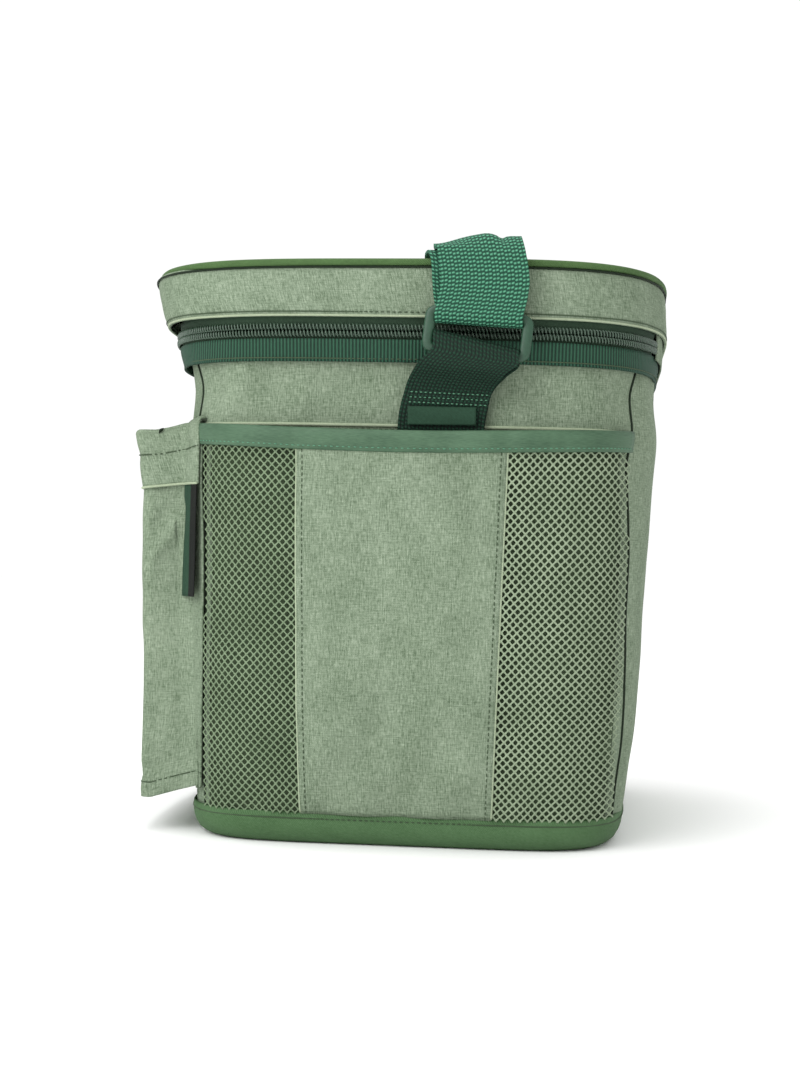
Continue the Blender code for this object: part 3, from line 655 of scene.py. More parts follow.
def corner_seams():
    """The dark seams where the end panels meet the side panels, and the ridge above each end pocket."""
    for end, side in (("front", -1), ("rear", 1)):
        for hand, way in (("left", -1), ("right", 1)):
            path = []
            for z in np.linspace(0.0150, ribbon_low[2] + 0.001, 60):
                x = np.array([way * float(seam_x(z, way))])
                off = fold_field(0.0, z, x, side * end_y(x, z))
                path.append(on_end(x, z, off[0], side)[0])
            mesh = tube(np.array(path), (way * 0.7, side * 0.7, 0.0), 0.00075, 6)
            piece(f"{end}_seam_{hand}", mesh, "seam", "bag")
        x = np.linspace(-0.094, 0.094, 120)
        z = 0.1872
        off = fold_field(0.0, z, x, side * end_y(x, z))
        outward = (0.0, side, 0.0)
        path = on_end(x, z, off + 0.0004, side)
        piece(end + "_pocket_ridge", tube(path, outward, 0.0008), "edge", "bag")
        path = on_end(x, z - 0.0017, off + 0.0001, side)
        stitches(end + "_ridge_stitches", path, outward, "bag")


def base_cover():
    """The base's cloth: flat underneath, rounded at its edge, turned up as a band."""
    profile = (
        (0.0, -0.030), (0.0, -0.0060), (0.0003, -0.0040), (0.0012, -0.0018), (0.0030, 0.0000),
        (0.0055, 0.0011), (0.0080, 0.0016), (0.0105, 0.0017), (0.0128, 0.0016), (0.0142, 0.0013), (0.0147, 0.0006),
    )
    points, uvs = [], []
    for z, out in profile:
        half_x, half_y, power = sizes(BODY, z)
        x, y, nx, ny, at = ring_points(half_x + out, half_y + out, power, 361)
        ripple = 0.0002 * wander(spread(x, y, z), 0.012, 9) * (z > 0.002)
        points.append(spread(x + ripple * nx, y + ripple * ny, z))
        uvs.append(spread(at, z + out))
    mesh = fill(grid(points, uvs, closed=True), lambda vert: vert.co.z < 0.0001)
    cloth("base_cover", mesh, "base", "bag", 0.0011, ("base_panel",))
    ring_stitches("base_stitches", 0.0118, 0.0018)


def ring_stitches(name, z, off):
    """A row of stitches round the body."""
    x, y, nx, ny, _ = ring_points(*sizes(BODY, z), 700)
    stitches(name, spread(x + off * nx, y + off * ny, z), spread(nx, ny, 0.0), "bag")


def ribbon():
    def away(u, z, x, y):
        edge = 0.0004 * hill(z, ribbon_low[2], 0.0012)
        left = 0.0024 * ramp(-x, 0.085, 0.110) * ramp(z, ribbon_low[2] - 0.004, ribbon_high[2])
        return 0.0019 + edge + left + 0.00012 * np.sin(u * 90)

    heights = np.linspace(ribbon_low[2], ribbon_high[2], 7)
    bag_wall("edge_ribbon", heights, away, "ribbon", 0.0012, "top_ribbon")
    ring_stitches("ribbon_stitches", ribbon_low[2] + 0.0013, 0.0021)


def edge_tape(name, plan, inset, profile, body, flip=False):
    """A tape that closes a wall's open edge, from its profile of (offset, z)."""
    half_x, half_y, power = plan
    rows, uvs = [], []
    for off, z in profile:
        x, y, _, _, at = ring_points(half_x + off - inset, half_y + off - inset, power, 361)
        rows.append(spread(x, y, z))
        uvs.append(spread(at, off))
    cloth(name, grid(rows, uvs, closed=True, flip=flip), "tape", body, 0.0004)


def rim():
    """The tape over the wall's upper edge, from the ribbon over the foam to the liner."""
    profile = (
        (0.0004, 0.2236), (0.0001, 0.2243), (-0.0030, 0.2247),
        (-0.0065, 0.2245), (-0.0094, 0.2240), (-0.0098, 0.2225),
    )
    edge_tape("rim_tape", sizes(BODY, shell_high[2]), 0.0, profile, "bag")


def liner_piece():
    low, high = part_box("liner")
    inner = 0.0084

    def away(u, z, x, y):
        return -inner + 0.0006 * wander(spread(x, y, z), 0.030, 11, 2)

    heights = np.linspace(low[2] + 0.0016, high[2], 40)
    mesh = grid(*wall_rings(BODY, heights, 301, away), closed=True)
    fill(mesh, lambda vert: vert.co.z < heights[0] + 0.0001)
    cloth("liner_cloth", mesh, "liner", "bag", 0.0006, ("liner", "foam_walls"))


# ---------------------------------------------------------------- zip


def zip_span():
    """The shares of the outline's length where the zip starts and stops, either side of the hinge."""
    x, y, _, _, at = ring_points(*ZIP, 4000)
    hinge_shares = at[(x > 0) & (np.abs(y) < HINGE_HALF + 0.002)] / at[-1]
    return hinge_shares.max(), hinge_shares.min() + 1.0


def zip_run(z, away, count, span):
    """Points along the zip, which passes the rear end's middle, with their normals and distances."""
    x, y, nx, ny, at = ring_points(*ZIP, 4001)
    share = np.linspace(*span, count)
    x, y, nx, ny = (np.interp(share % 1.0, at / at[-1], v) for v in (x, y, nx, ny))
    normal = unit(spread(nx, ny, 0.0))
    left = 0.0020 * ramp(-x, 0.085, 0.112)
    return spread(x - left, y, z) + away * normal, normal, share * at[-1]


def zip_tape(name, body, heights, node, insets, span):
    rows, uvs = [], []
    for z, inset in zip(np.linspace(*heights, 5), np.linspace(*insets, 5)):
        points, _, at = zip_run(z, -inset, 400, span)
        rows.append(points)
        uvs.append(spread(at, z))
    cloth(name, grid(rows, uvs), "tape", body, 0.0007, (node,))


def zip_coil(name, body, node, sign, span):
    """One row of the coil: a flattened helix whose turns mesh with the other row's at the middle."""
    pitch, per_turn, wire = 0.00162, 10, 0.00040
    tall, deep, sunk, offset = 0.00128, 0.00070, 0.0009, 0.00150
    centre, normal, at = zip_run(0.0, 0.0, 3000, span)
    length = at[-1] - at[0]
    turns = int(length / pitch)
    share = np.linspace(0, 1, turns * per_turn + 1)
    run = (at - at[0]) / length
    base, out = (np.stack([np.interp(share, run, v[:, k]) for k in range(3)], -1) for v in (centre, normal))
    phase = share * turns * 2 * math.pi + (0.0 if sign < 0 else math.pi)
    path = base + out * (np.sin(phase) * deep - sunk)[:, None]
    path[:, 2] = ZIP_MIDDLE + sign * offset + np.cos(phase) * tall
    piece(name, tube(path, out, wire, 6), "coil", body, (node,))


def zip_parts():
    """Both tapes, which meet with a narrow gap, and both rows of the coil."""
    span = zip_span()
    lower = (ribbon_high[2] - 0.0004, ZIP_MIDDLE - 0.0004)
    upper = (ZIP_MIDDLE + 0.0004, skirt_low[2] + 0.0010)
    zip_tape("lower_tape", "bag", lower, "zip_tape_lower", (0.0024, 0.0026), span)
    zip_tape("upper_tape", "lid", upper, "zip_tape_upper", (0.0026, 0.0012), span)
    zip_coil("lower_coil", "bag", "zip_coil_lower", -1, span)
    zip_coil("upper_coil", "lid", "zip_coil_upper", 1, span)


def hinge():
    """The strip of cloth along the fourth side, between the bag and the lid, bowed slightly outwards."""
    half_x, half_y, power = ZIP
    y = np.linspace(-HINGE_HALF, HINGE_HALF, 90)
    x = reach(y / half_y, half_x, power)
    low, high = ribbon_high[2] - 0.0016, skirt_low[2] + 0.0014
    rows, uvs = [], []
    for t in np.linspace(0, 1, 13):
        z = low + (high - low) * t
        rows.append(spread(x - 0.0004 + 0.0003 * math.sin(t * math.pi), y, z))
        uvs.append(spread(y, z))
    obj = cloth("hinge_cloth", grid(rows, uvs), "fabric", None, 0.0009, ("hinge_strip",))
    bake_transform(obj)


# ---------------------------------------------------------------- lid


def lid_share(z):
    return np.clip((z - LID[0, 0]) / (LID[-1, 0] - LID[0, 0]), 0, 1)


def lid_place(points):
    """The lid stands a little higher towards +X at its upper edge than at its hem."""
    moved = np.array(points)
    moved[..., 2] += LID_TILT * moved[..., 0] * lid_share(moved[..., 2])
    return moved


def lid_off(z, x, y):
    """Soft padding of the lid's skirt, with a lean outwards at its -X side."""
    share = lid_share(z)
    puff = 0.0011 * np.sin(math.pi * share)
    fade = ramp(share, 0.0, 0.2) * (1 - ramp(share, 0.8, 1.0))
    soft = wander(spread(x, y, z * 0.6), 0.024, 21, 2)
    left = 0.0050 * ramp(-x, 0.080, 0.112) * (1 - 0.45 * share)
    return puff + 0.0008 * soft * fade + left


def lid_line(z, lift, count=700, soft=True):
    """A closed line round the lid's skirt at a height, and its normals."""
    x, y, nx, ny, _ = ring_points(*sizes(LID, z), count)
    off = lid_off(z, x, y) + lift if soft else lift
    path = spread(x + off * nx + lean(z), y + off * ny, z)
    return lid_place(path), spread(nx, ny, 0.0)


def lid_cord(name, line, radius, sides, material, nodes=()):
    path, normals = line
    piece(name, tube(path[:-1], normals[:-1], radius, sides, closed=True), material, "lid", nodes)


def lid_parts():
    hem, edge = skirt_low[2], LID[-1, 0]
    heights = np.concatenate([[hem - 0.0002], np.linspace(hem + 0.0002, piping_low[2] + 0.0006, 26)])
    points, uv = wall_rings(LID, heights, 421, lambda u, z, x, y: lid_off(z, x, y))
    mesh = grid(lid_place(points), uv, closed=True)
    cloth("lid_skirt_cloth", mesh, "fabric", "lid", FABRIC, ("lid_skirt",))
    stitches("lid_hem_stitches", *lid_line(hem + 0.0019, 0.0002), "lid")
    lid_cord("lid_hem_edge", lid_line(hem + 0.0004, -0.0001), 0.00052, 8, "edge")
    # A near-black cord just below the piping: a painted shadow line under it.
    lid_cord("piping_painted_shadow", lid_line(edge - 0.0021, 0.0005), 0.0005, 6, "seam")
    lid_cord("piping_cord", lid_line(edge, 0.0, 481, soft=False), 0.00165, 12, "piping", ("lid_piping",))
    lid_roof(*sizes(LID, edge))
    lid_inside(hem)


def lid_roof(half_x, half_y, power):
    """The lid's upper cloth: rings from the middle out, slightly domed, with soft waves."""
    rows, uvs = [], []
    for share in np.concatenate([np.linspace(0.02, 0.9, 22), np.linspace(0.92, 1.0, 6)]):
        px, py = (half_x - 0.0012) * share, (half_y - 0.0012) * share
        x, y, _, _, _ = ring_points(px, py, 2 + (power - 2) * share, 241)
        dome = 0.0010 * (1 - share ** 4) - 0.0006
        wave = 0.0006 * wander(spread(x, y, 0.0), 0.035, 31, 2) * (1 - share ** 6)
        rows.append(spread(x + LID_LEAN, y, lid_top_high[2] - 0.0008 + dome + wave))
        uvs.append(spread(x, y))
    mesh = grid(lid_place(rows), uvs, closed=True, flip=True)
    count = len(uvs[0]) - 1
    fill(mesh, lambda vert: vert.index < count, lambda vert: (vert.co.x - LID_LEAN, vert.co.y))
    cloth("lid_top_cloth", mesh, "fabric", "lid", 0.0008, ("lid_top",))


def lid_inside(hem):
    """The film inside the lid and the tape that closes its hem."""
    low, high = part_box("lid_liner")
    top = high[2] - 0.0014
    mesh = grid(*wall_rings(LID, np.linspace(low[2], top, 12), 301, -0.0076), closed=True, flip=True)
    fill(mesh, lambda vert: vert.co.z > top - 0.0001)
    cloth("lid_liner_cloth", mesh, "liner", "lid", 0.0006, ("lid_liner", "lid_foam"), 1.0)
    profile = (
        (0.0, hem + 0.0008), (-0.0022, hem + 0.0002), (-0.0050, hem + 0.0004), (-0.0078, low[2] + 0.0004),
    )
    edge_tape("lid_hem_tape", sizes(LID, hem), 0.0006, profile, "lid", flip=True)


# ---------------------------------------------------------------- end pockets

POCKET_BOTTOM = 0.0138
BULGE = 0.0105
MOUTH_SAG = 0.0033


def pocket_edge(z, way):
    """How far out the pocket reaches towards -X or +X (way), or which of them an array of ways asks for."""
    left, right = (np.interp(z, EDGE_SHARES[:, 0], EDGE_SHARES[:, k]) for k in (1, 2))
    return np.where(np.asarray(way) < 0, left, right) * sizes(BODY, z)[0]


def panel_half(z):
    return 0.0425 + 0.0035 * (z - 0.016) / 0.153


def mouth_rise(x):
    """The mouth sags between its two ends."""
    return MOUTH_SAG * (x / 0.095) ** 2


def pocket_off(x, z, side):
    """How far the pocket stands off the wall: close at its edges, with soft folds below the mouth."""
    share = np.clip(np.abs(x / pocket_edge(z, x)), 0, 1)
    across = (1 - share ** 3) ** 1.3
    upward = np.clip((z - POCKET_BOTTOM) / 0.06, 0, 1) ** 0.5
    points = spread(x, side * 0.3, z)
    broad = wander(points, 0.034, 41, 2)
    high = ramp(z, 0.105, 0.165)
    slant = np.sin((x * 0.75 + z) * 165 + 2.0 * wander(points, 0.03, 43, 1))
    pucker = 0.0016 * high * hill(x, 0.022, 0.022) * slant
    low = 0.0008 * (1 - ramp(z, 0.03, 0.08)) * np.sin((x - 0.6 * z) * 190)
    edge_pull = -0.0012 * hill(np.abs(x), panel_half(z), 0.004) * (0.4 + 0.6 * high)
    fold = 0.0021 * broad * (0.4 + 0.6 * upward)
    return 0.0014 + BULGE * across * upward + (fold + pucker + low) * (1 - share ** 4) + edge_pull


def pocket_surface(x, z, side, lift=0.0):
    """Rows of points of the pocket's face; z follows the mouth's sag as it rises."""
    share = ramp(z, 0.10, binding_low[2])
    points = []
    for xi, zi, si in zip(x, z, share):
        row = on_end(xi, zi, pocket_off(xi, zi, side) + lift, side)
        row[:, 2] = zi + si * mouth_rise(xi)
        points.append(row)
    return np.array(points)


def pocket_line(x, z, side, lift):
    """One point of the pocket's face for each pair of x and z."""
    return pocket_surface(x[:, None], z, side, lift)[:, 0]


def end_pocket(end, side):
    heights = np.linspace(POCKET_BOTTOM, binding_low[2] + 0.003, 70)
    rows_x = np.array([np.linspace(-panel_half(z), panel_half(z), 48) for z in heights])
    points = pocket_surface(rows_x, heights, side, 0.0008)
    mesh = grid(points, spread(rows_x, heights[:, None]), flip=side > 0)
    cloth(end + "_pocket_cloth", mesh, "fabric", "bag", FABRIC, (end + "_pocket_panel",))
    outward = (0.0, side, 0.0)
    for hand, way in (("left", -1), ("right", 1)):
        z = np.linspace(POCKET_BOTTOM + 0.001, binding_low[2] + 0.002, 90)
        path = pocket_line(way * (panel_half(z) - 0.0026), z, side, 0.0009)
        stitches(f"{end}_panel_stitches_{hand}", path, outward, "bag")
        path = pocket_line(way * panel_half(z), z, side, 0.0003)
        piece(f"{end}_panel_edge_{hand}", tube(path, outward, 0.00055), "edge", "bag")
        net(end, side, hand, way)
    binding(end, side)


def painted_shade_sheet(end, side, hand, way):
    """A dark sheet on the wall behind the net: painted shade, so that the net's holes read dark."""
    heights = np.linspace(POCKET_BOTTOM, binding_high[2] - 0.001, 40)
    rows, uvs = [], []
    for z in heights:
        x = way * np.linspace(panel_half(z) - 0.012, float(pocket_edge(z, way)) - 0.0034, 24)
        off = fold_field(0.0, z, x, side * end_y(x, z))
        rows.append(on_end(x, z, off + 0.0007, side))
        uvs.append(spread(x, z))
    cloth(f"{end}_net_backing_{hand}", grid(rows, uvs, flip=side * way > 0), "painted_shade_sheet", "bag", 0.0004)


def net(end, side, hand, way):
    """Open net of diamond meshes: a lattice of yarn with a hole in every cell."""
    # A dark sheet behind the net, as painted shade.
    painted_shade_sheet(end, side, hand, way)
    cell_x, cell_z = 0.0033, 0.0037
    low, high = POCKET_BOTTOM + 0.0004, binding_low[2] + 0.0030
    columns = int(0.062 / (cell_x / 2))
    rows = int((high - low) / (cell_z / 2))
    knots = {}
    for i in range(columns):
        for k in range(rows + 1):
            z = min(low + k * cell_z / 2, high)
            x = panel_half(z) - 0.0008 + i * cell_x / 2
            if (i + k) % 2 == 0 and x <= float(pocket_edge(z, way)) + 0.0004:
                knots[i, k] = (len(knots), x * way, z)
    edges = [
        (knots[i, k][0], knots[i + step, k + 1][0])
        for i, k in knots for step in (1, -1) if (i + step, k + 1) in knots
    ]
    _, x, z = np.array(list(knots.values())).T
    x = x + 0.0005 * wander(spread(x, 0.0, z), 0.012, 81, 1)
    surface = pocket_line(x, z, side, 0.0)
    normal = unit(pocket_line(x, z, side, 0.001) - surface)
    mesh = yarn_mesh(surface, normal, np.array(edges), 0.00038 if way < 0 else 0.00046, 0.00028)
    # The -X side's yarn takes the darker copy as painted shade; the +X side takes the paler, lit copy.
    shade = "net_shade" if way < 0 else "net"
    piece(f"{end}_net_{hand}_yarn", mesh, shade, "bag", (f"{end}_pocket_net_{hand}",))


def yarn_mesh(points, normals, edges, half_width, half_height):
    """A short bar along each edge, thicker at its ends, overlapping its neighbours at the knots."""
    a, b = points[edges[:, 0]], points[edges[:, 1]]
    normal = unit(normals[edges[:, 0]] + normals[edges[:, 1]])
    along = unit(b - a)
    across = np.cross(normal, along)
    a, b = a - along * half_width * 0.8, b + along * half_width * 0.8
    angle = np.arange(BAR_SIDES) * 2 * math.pi / BAR_SIDES
    shares = (0.0, 0.22, 0.5, 0.78, 1.0)
    verts = []
    for share, swell in zip(shares, (1.65, 1.15, 0.75, 1.15, 1.65)):
        wide = np.cos(angle)[:, None] * across[:, None] * half_width * swell
        high = np.sin(angle)[:, None] * normal[:, None] * half_height
        verts.append((a + (b - a) * share)[:, None] + wide + high)
    return bars(np.stack(verts, 1), len(shares))


def binding(end, side):
    """The folded tape along the pocket's mouth, with its stitch row."""
    height = binding_high[2] - binding_low[2]
    x = np.linspace(-1, 1, 140)

    def line(share, out, beyond, ripple=0.0):
        """The tape's line at a share of its height, reaching beyond the pocket's edges, and its x and z."""
        z = binding_low[2] + height * share
        across = x * (pocket_edge(z, x) + beyond)
        if ripple:
            out = out + ripple * wander(spread(across, 0.0, share * 0.01), 0.012, 51, 2)
        points = on_end(across, z, pocket_off(across, np.array(binding_low[2]), side) + out, side)
        points[:, 2] = z + mouth_rise(across)
        return points, across, z

    profile = (
        (0.0, -0.0004), (0.0, 0.0014), (0.04, 0.0019), (0.25, 0.0020), (0.5, 0.0022), (0.8, 0.0021),
        (0.95, 0.0019), (1.0, 0.0012), (1.0, -0.0002), (0.92, -0.0009), (0.3, -0.0010),
    )
    rows, uvs = [], []
    for share, out in profile:
        points, across, z = line(share, out, 0.0006, 0.00025)
        rows.append(points)
        uvs.append(spread(across, z))
    mesh = grid(rows, uvs, flip=side > 0)
    cloth(end + "_binding_tape", mesh, "binding", "bag", 0.0005, (end + "_pocket_binding",))
    path, across, z = line(0.17, 0.0020, -0.001)
    normals = on_end(across, z, 0.01, side) - on_end(across, z, 0.0, side)
    stitches(end + "_binding_stitches", path, normals, "bag", "thread_green", length=0.5)


# ---------------------------------------------------------------- flap pocket

POCKET_OUT = 0.1222
POCKET_BOW = 0.0062
POCKET_HALF = 0.1120
POCKET_CORNER = 0.0046


def corner_run(z, away):
    """Points off the wall round the body's corner, from the end pocket's seam to the side pocket's front."""
    edge = float(pocket_edge(z, -1)) / sizes(BODY, z)[0]
    x = -sizes(BODY, z)[0] * np.array([edge + 0.003, edge + 0.025, 0.905, 0.925])
    return [(p[0], -p[1]) for p in on_end(x, z, away, -1)[:, :2]]


def pocket_outline(z, out, half, corner, wall, count, away=0.0022):
    """The pocket's plan from the corner seam, out, along and back, at equal steps, with its normals."""
    start = corner_run(z, away)
    points = start + [(wall + (corner - out - wall) * k / 6, half) for k in range(2, 6)]
    flat = half - corner

    def turn(first, y):
        angles = np.radians(first + np.linspace(0, 90, 9))
        return [(corner - out + corner * math.cos(a), y + corner * math.sin(a)) for a in angles]

    points += turn(90, flat)
    for y in np.linspace(flat, -flat, 41)[1:-1]:
        points.append((-out - POCKET_BOW * (1 - (y / flat) ** 2), y))
    points += turn(180, -flat)
    points += [(corner - out + (wall - corner + out) * k / 6, -half) for k in range(1, 5)]
    points += [(x, -y) for x, y in start[::-1]]
    path, at = resample(np.array(points), 0.0001)
    share = np.linspace(0, at[-1], count)
    line = np.stack([np.interp(share, at, path[:, k]) for k in (0, 1)], -1)
    tangent = unit(np.gradient(line, axis=0))
    return line, spread(tangent[:, 1], -tangent[:, 0], 0.0), share


def beside_wall(y, z, clearance):
    return -(float(side_x(np.array(y), z)) + clearance)


def side_pocket():
    low, high = pocket_low[2], pocket_high[2]
    heights = np.concatenate([[0, 0.0008, 0.0022], np.linspace(0.004, high - low, 58)]) + low
    count = 300
    rows, uvs = [], []
    for z in heights:
        wall = beside_wall(POCKET_HALF, z, 0.0008)
        line, normal, at = pocket_outline(z, POCKET_OUT, POCKET_HALF, POCKET_CORNER, wall, count)
        share = (z - low) / (high - low)
        out = np.clip((wall - line[:, 0]) / 0.022, 0, 1)
        drop = 0.0066 * out * (1 - ramp(share, 0.0, 0.35))
        points = spread(*line.T, z - drop)
        soft = wander(points, 0.030, 61, 2) * math.sin(math.pi * min(max(share, 0.03), 0.97))
        waist = 0.0006 * hill(share, 0.58, 0.22) - 0.0004 * hill(share, 0.0, 0.02)
        top = 0.0020 * ramp(share, 0.5, 0.8)
        crease = -0.0010 * hill(z + 0.35 * np.abs(line[:, 0] + 0.105), 0.038, 0.0035)
        crease = crease * (np.abs(line[:, 1]) > 0.10)
        ends = ramp(at, 0.004, 0.024) * (1 - ramp(at, at[-1] - 0.024, at[-1] - 0.004))
        face = (np.abs(line[:, 1]) > 0.1085) * ramp(line[:, 0], -0.1215, -0.1165)
        slope = z - 0.149 - 1.17 * (line[:, 0] + 0.1035)
        fold = (0.0026 * hill(slope, -0.0050, 0.0060) - 0.0018 * hill(slope, 0.0070, 0.0060)) * face
        pool = -0.0016 * hill(z, high - 0.018, 0.010) * ramp(-line[:, 0], 0.104, 0.112) * face
        off = (0.0013 * soft + waist + top + crease + fold + pool) * ends
        rows.append(points + off[:, None] * normal)
        uvs.append(spread(at, z))
    half = corner_run(low, 0.001)[0][1] - 0.002
    floor = [(beside_wall(y, low, 0.0008), y, low) for y in np.linspace(-half, half, 40)]
    mesh = with_lid(grid(rows, uvs), range(count), floor)
    cloth("side_pocket_cloth", mesh, "fabric", "bag", 0.0009, ("side_pocket",))
    stitches("side_pocket_stitches", rows[4], normal, "bag")
    y = np.linspace(-POCKET_HALF, POCKET_HALF, 60)
    heights = np.linspace(low + 0.001, high, 20)
    mesh = grid([spread(-side_x(y, z) - 0.0010, y, z) for z in heights], [spread(y, z) for z in heights])
    cloth("side_pocket_back", mesh, "fabric", "bag", 0.0005, offset=0.0)


def with_lid(mesh, edge, back):
    """Fills the face between an edge of a mesh (its vertices' numbers) and a row of points behind."""
    def change(bm):
        layer = bm.loops.layers.uv.active
        bm.verts.ensure_lookup_table()
        face = bm.faces.new([bm.verts[k] for k in edge] + [bm.verts.new(point) for point in back])
        for loop in face.loops:
            loop[layer].uv = (loop.vert.co.y, loop.vert.co.x)
        bmesh.ops.triangulate(bm, faces=[face])

    return edit(mesh, change)


def flap_top(x):
    """The height of the flap's top, which falls from the corner seam and is level at its outer edge."""
    return np.interp(x, (-0.1159, -0.1050, -0.0919), (0.1854, 0.1884, 0.1914))


def pocket_flap():
    """The boxed flap: its ends hang from the sloping top, and its face hangs over the pocket's mouth."""
    count = 300
    low = flap_low[2]
    half = POCKET_HALF + 0.0022
    wall = -0.1042
    round_edge = 0.0022
    rows, uvs = [], []
    for share in np.linspace(0, 1, 24):
        flare = 0.0030 + 0.0040 * share
        out = POCKET_OUT + flare - 0.0010
        line, normal, at = pocket_outline(0.172, out, half, POCKET_CORNER + 0.001, wall, count, 0.0040)
        top = flap_top(line[:, 0]) - round_edge
        sag = -0.0022 * np.clip((wall - line[:, 0]) / 0.020, 0, 1) * (1 - share)
        z = low + (top - low) * share + sag
        points = spread(*line.T, z)
        soft = wander(points, 0.020, 71, 2) * (1 - 0.6 * share)
        tuck = 0.0007 * hill(z, top - 0.0095, 0.0030)
        ends = ramp(at, 0.0, 0.012) * (1 - ramp(at, at[-1] - 0.012, at[-1]))
        off = (0.0004 * soft - tuck) * ends
        rows.append(points + off[:, None] * normal)
        uvs.append(spread(at, z))
    edge = rows[-1]
    for turn in (25, 50, 70, 90):
        angle = math.radians(turn)
        inset = round_edge * (1 - math.cos(angle)) + (0.0012 if turn == 90 else 0.0)
        inner = edge - inset * normal
        inner[:, 2] += round_edge * math.sin(angle)
        rows.append(inner)
        uvs.append(spread(at, 0.2 + inset))
    start = (len(rows) - 1) * count
    reach_y = corner_run(0.172, 0.004)[0][1] - 0.004
    back = [(beside_wall(y, 0.19, 0.0012), y) for y in np.linspace(-reach_y, reach_y, 40)]
    back = [(x, y, float(flap_top(x))) for x, y in back]
    mesh = with_lid(grid(rows, uvs), range(start, start + count), back)
    cloth("flap_cloth", mesh, "fabric", "flap", 0.0009, ("side_pocket_flap",))
    piece("flap_hem", tube(rows[0] + 0.0002 * normal, normal, 0.0006), "edge", "flap")
    stitches("flap_stitches", rows[14] + 0.0003 * normal, normal, "flap", length=0.5)
    notch("front", -1, half)
    notch("rear", 1, half)


def notch(name, end, half):
    """A near-black sliver in the flap's end, where its top's hem tucks in beside the outer edge: painted shade in
    that fold.
    """
    y = end * (half + 0.0003)
    points = np.array([(-0.1138, y, 0.1858), (-0.1152, y + end * 0.0002, 0.1849), (-0.1160, y, 0.1836)])
    path, _ = resample(points, 0.0003)
    radius = 0.0007 * np.sin(np.linspace(0.3, 2.8, len(path)))
    piece(f"flap_{name}_fold", tube(path, (0.0, end, 0.0), radius), "seam", "flap")


# ---------------------------------------------------------------- strap and rings

WEB = 0.0380
WEB_THICK = 0.0014
RING_ROLL = math.radians(6.0)
STRAP_X = 0.0325
TAB_ROLL = 2.1
LEG_ROLL = 0.5
ring_centre = ((ring_low[0] + ring_high[0]) / 2, 0.1552, (ring_low[2] + ring_high[2]) / 2)


def smooth_path(points):
    """A centripetal curve through the points, resampled at equal steps."""
    points = np.asarray(points, float)
    padded = np.concatenate([2 * points[:1] - points[1:2], points, 2 * points[-1:] - points[-2:-1]])
    made = []
    for k in range(len(points) - 1):
        p0, p1, p2, p3 = padded[k:k + 4]
        t = np.linspace(0, 1, 12, endpoint=False)[:, None]
        made.append(0.5 * (
            2 * p1 + (p2 - p0) * t + (2 * p0 - 5 * p1 + 4 * p2 - p3) * t ** 2
            + (3 * p1 - p0 - 3 * p2 + p3) * t ** 3
        ))
    made.append(points[-1:])
    return resample(np.concatenate(made), 0.0007)[0]


def webbing(name, path, material, slack, nodes):
    """A flat woven strip along a path of (x, y, z, roll); it is WEB wide. slack moves its points up."""
    line = smooth_path(path)
    centre, tilt = line[:, :3], RING_ROLL * line[:, 3]
    side = spread(np.cos(tilt), 0.0, -np.sin(tilt))
    run = distances(centre)
    share = np.linspace(-1, 1, 25)
    rows = centre[:, None] + side[:, None] * (share * WEB / 2)[None, :, None]
    rows[..., 2] += slack(rows, np.broadcast_to(share, rows.shape[:2]))
    mesh = grid(rows, spread(share * WEB / 2, run[:, None]))
    obj = cloth(name, mesh, material, None, WEB_THICK, nodes, 0.0)
    bevel = obj.modifiers.new("worn_edges", "BEVEL")
    bevel.width = WEB_THICK * 0.3
    bevel.segments = 2
    bevel.angle_limit = math.radians(60)
    return obj, run[-1]


def bar_turn(side, sign, start, stop, roll):
    """The webbing's turn round a ring's upper or lower bar: it stays on the bar at its +X edge."""
    rise, radius = 0.0088, 0.0038
    x = ring_centre[0] + sign * rise * math.sin(RING_ROLL) / 2
    lift = WEB / 2 * (math.sin(RING_ROLL * roll) - math.sin(RING_ROLL))
    middle = ring_centre[2] + sign * rise + lift
    return [
        (x, side * (ring_centre[1] - radius * math.cos(angle)), middle + radius * math.sin(angle), roll)
        for angle in np.radians(np.linspace(start, stop, 13))
    ]


def mirror_y(path, side):
    return [(x, -side * y, z, roll) for x, y, z, roll in path]


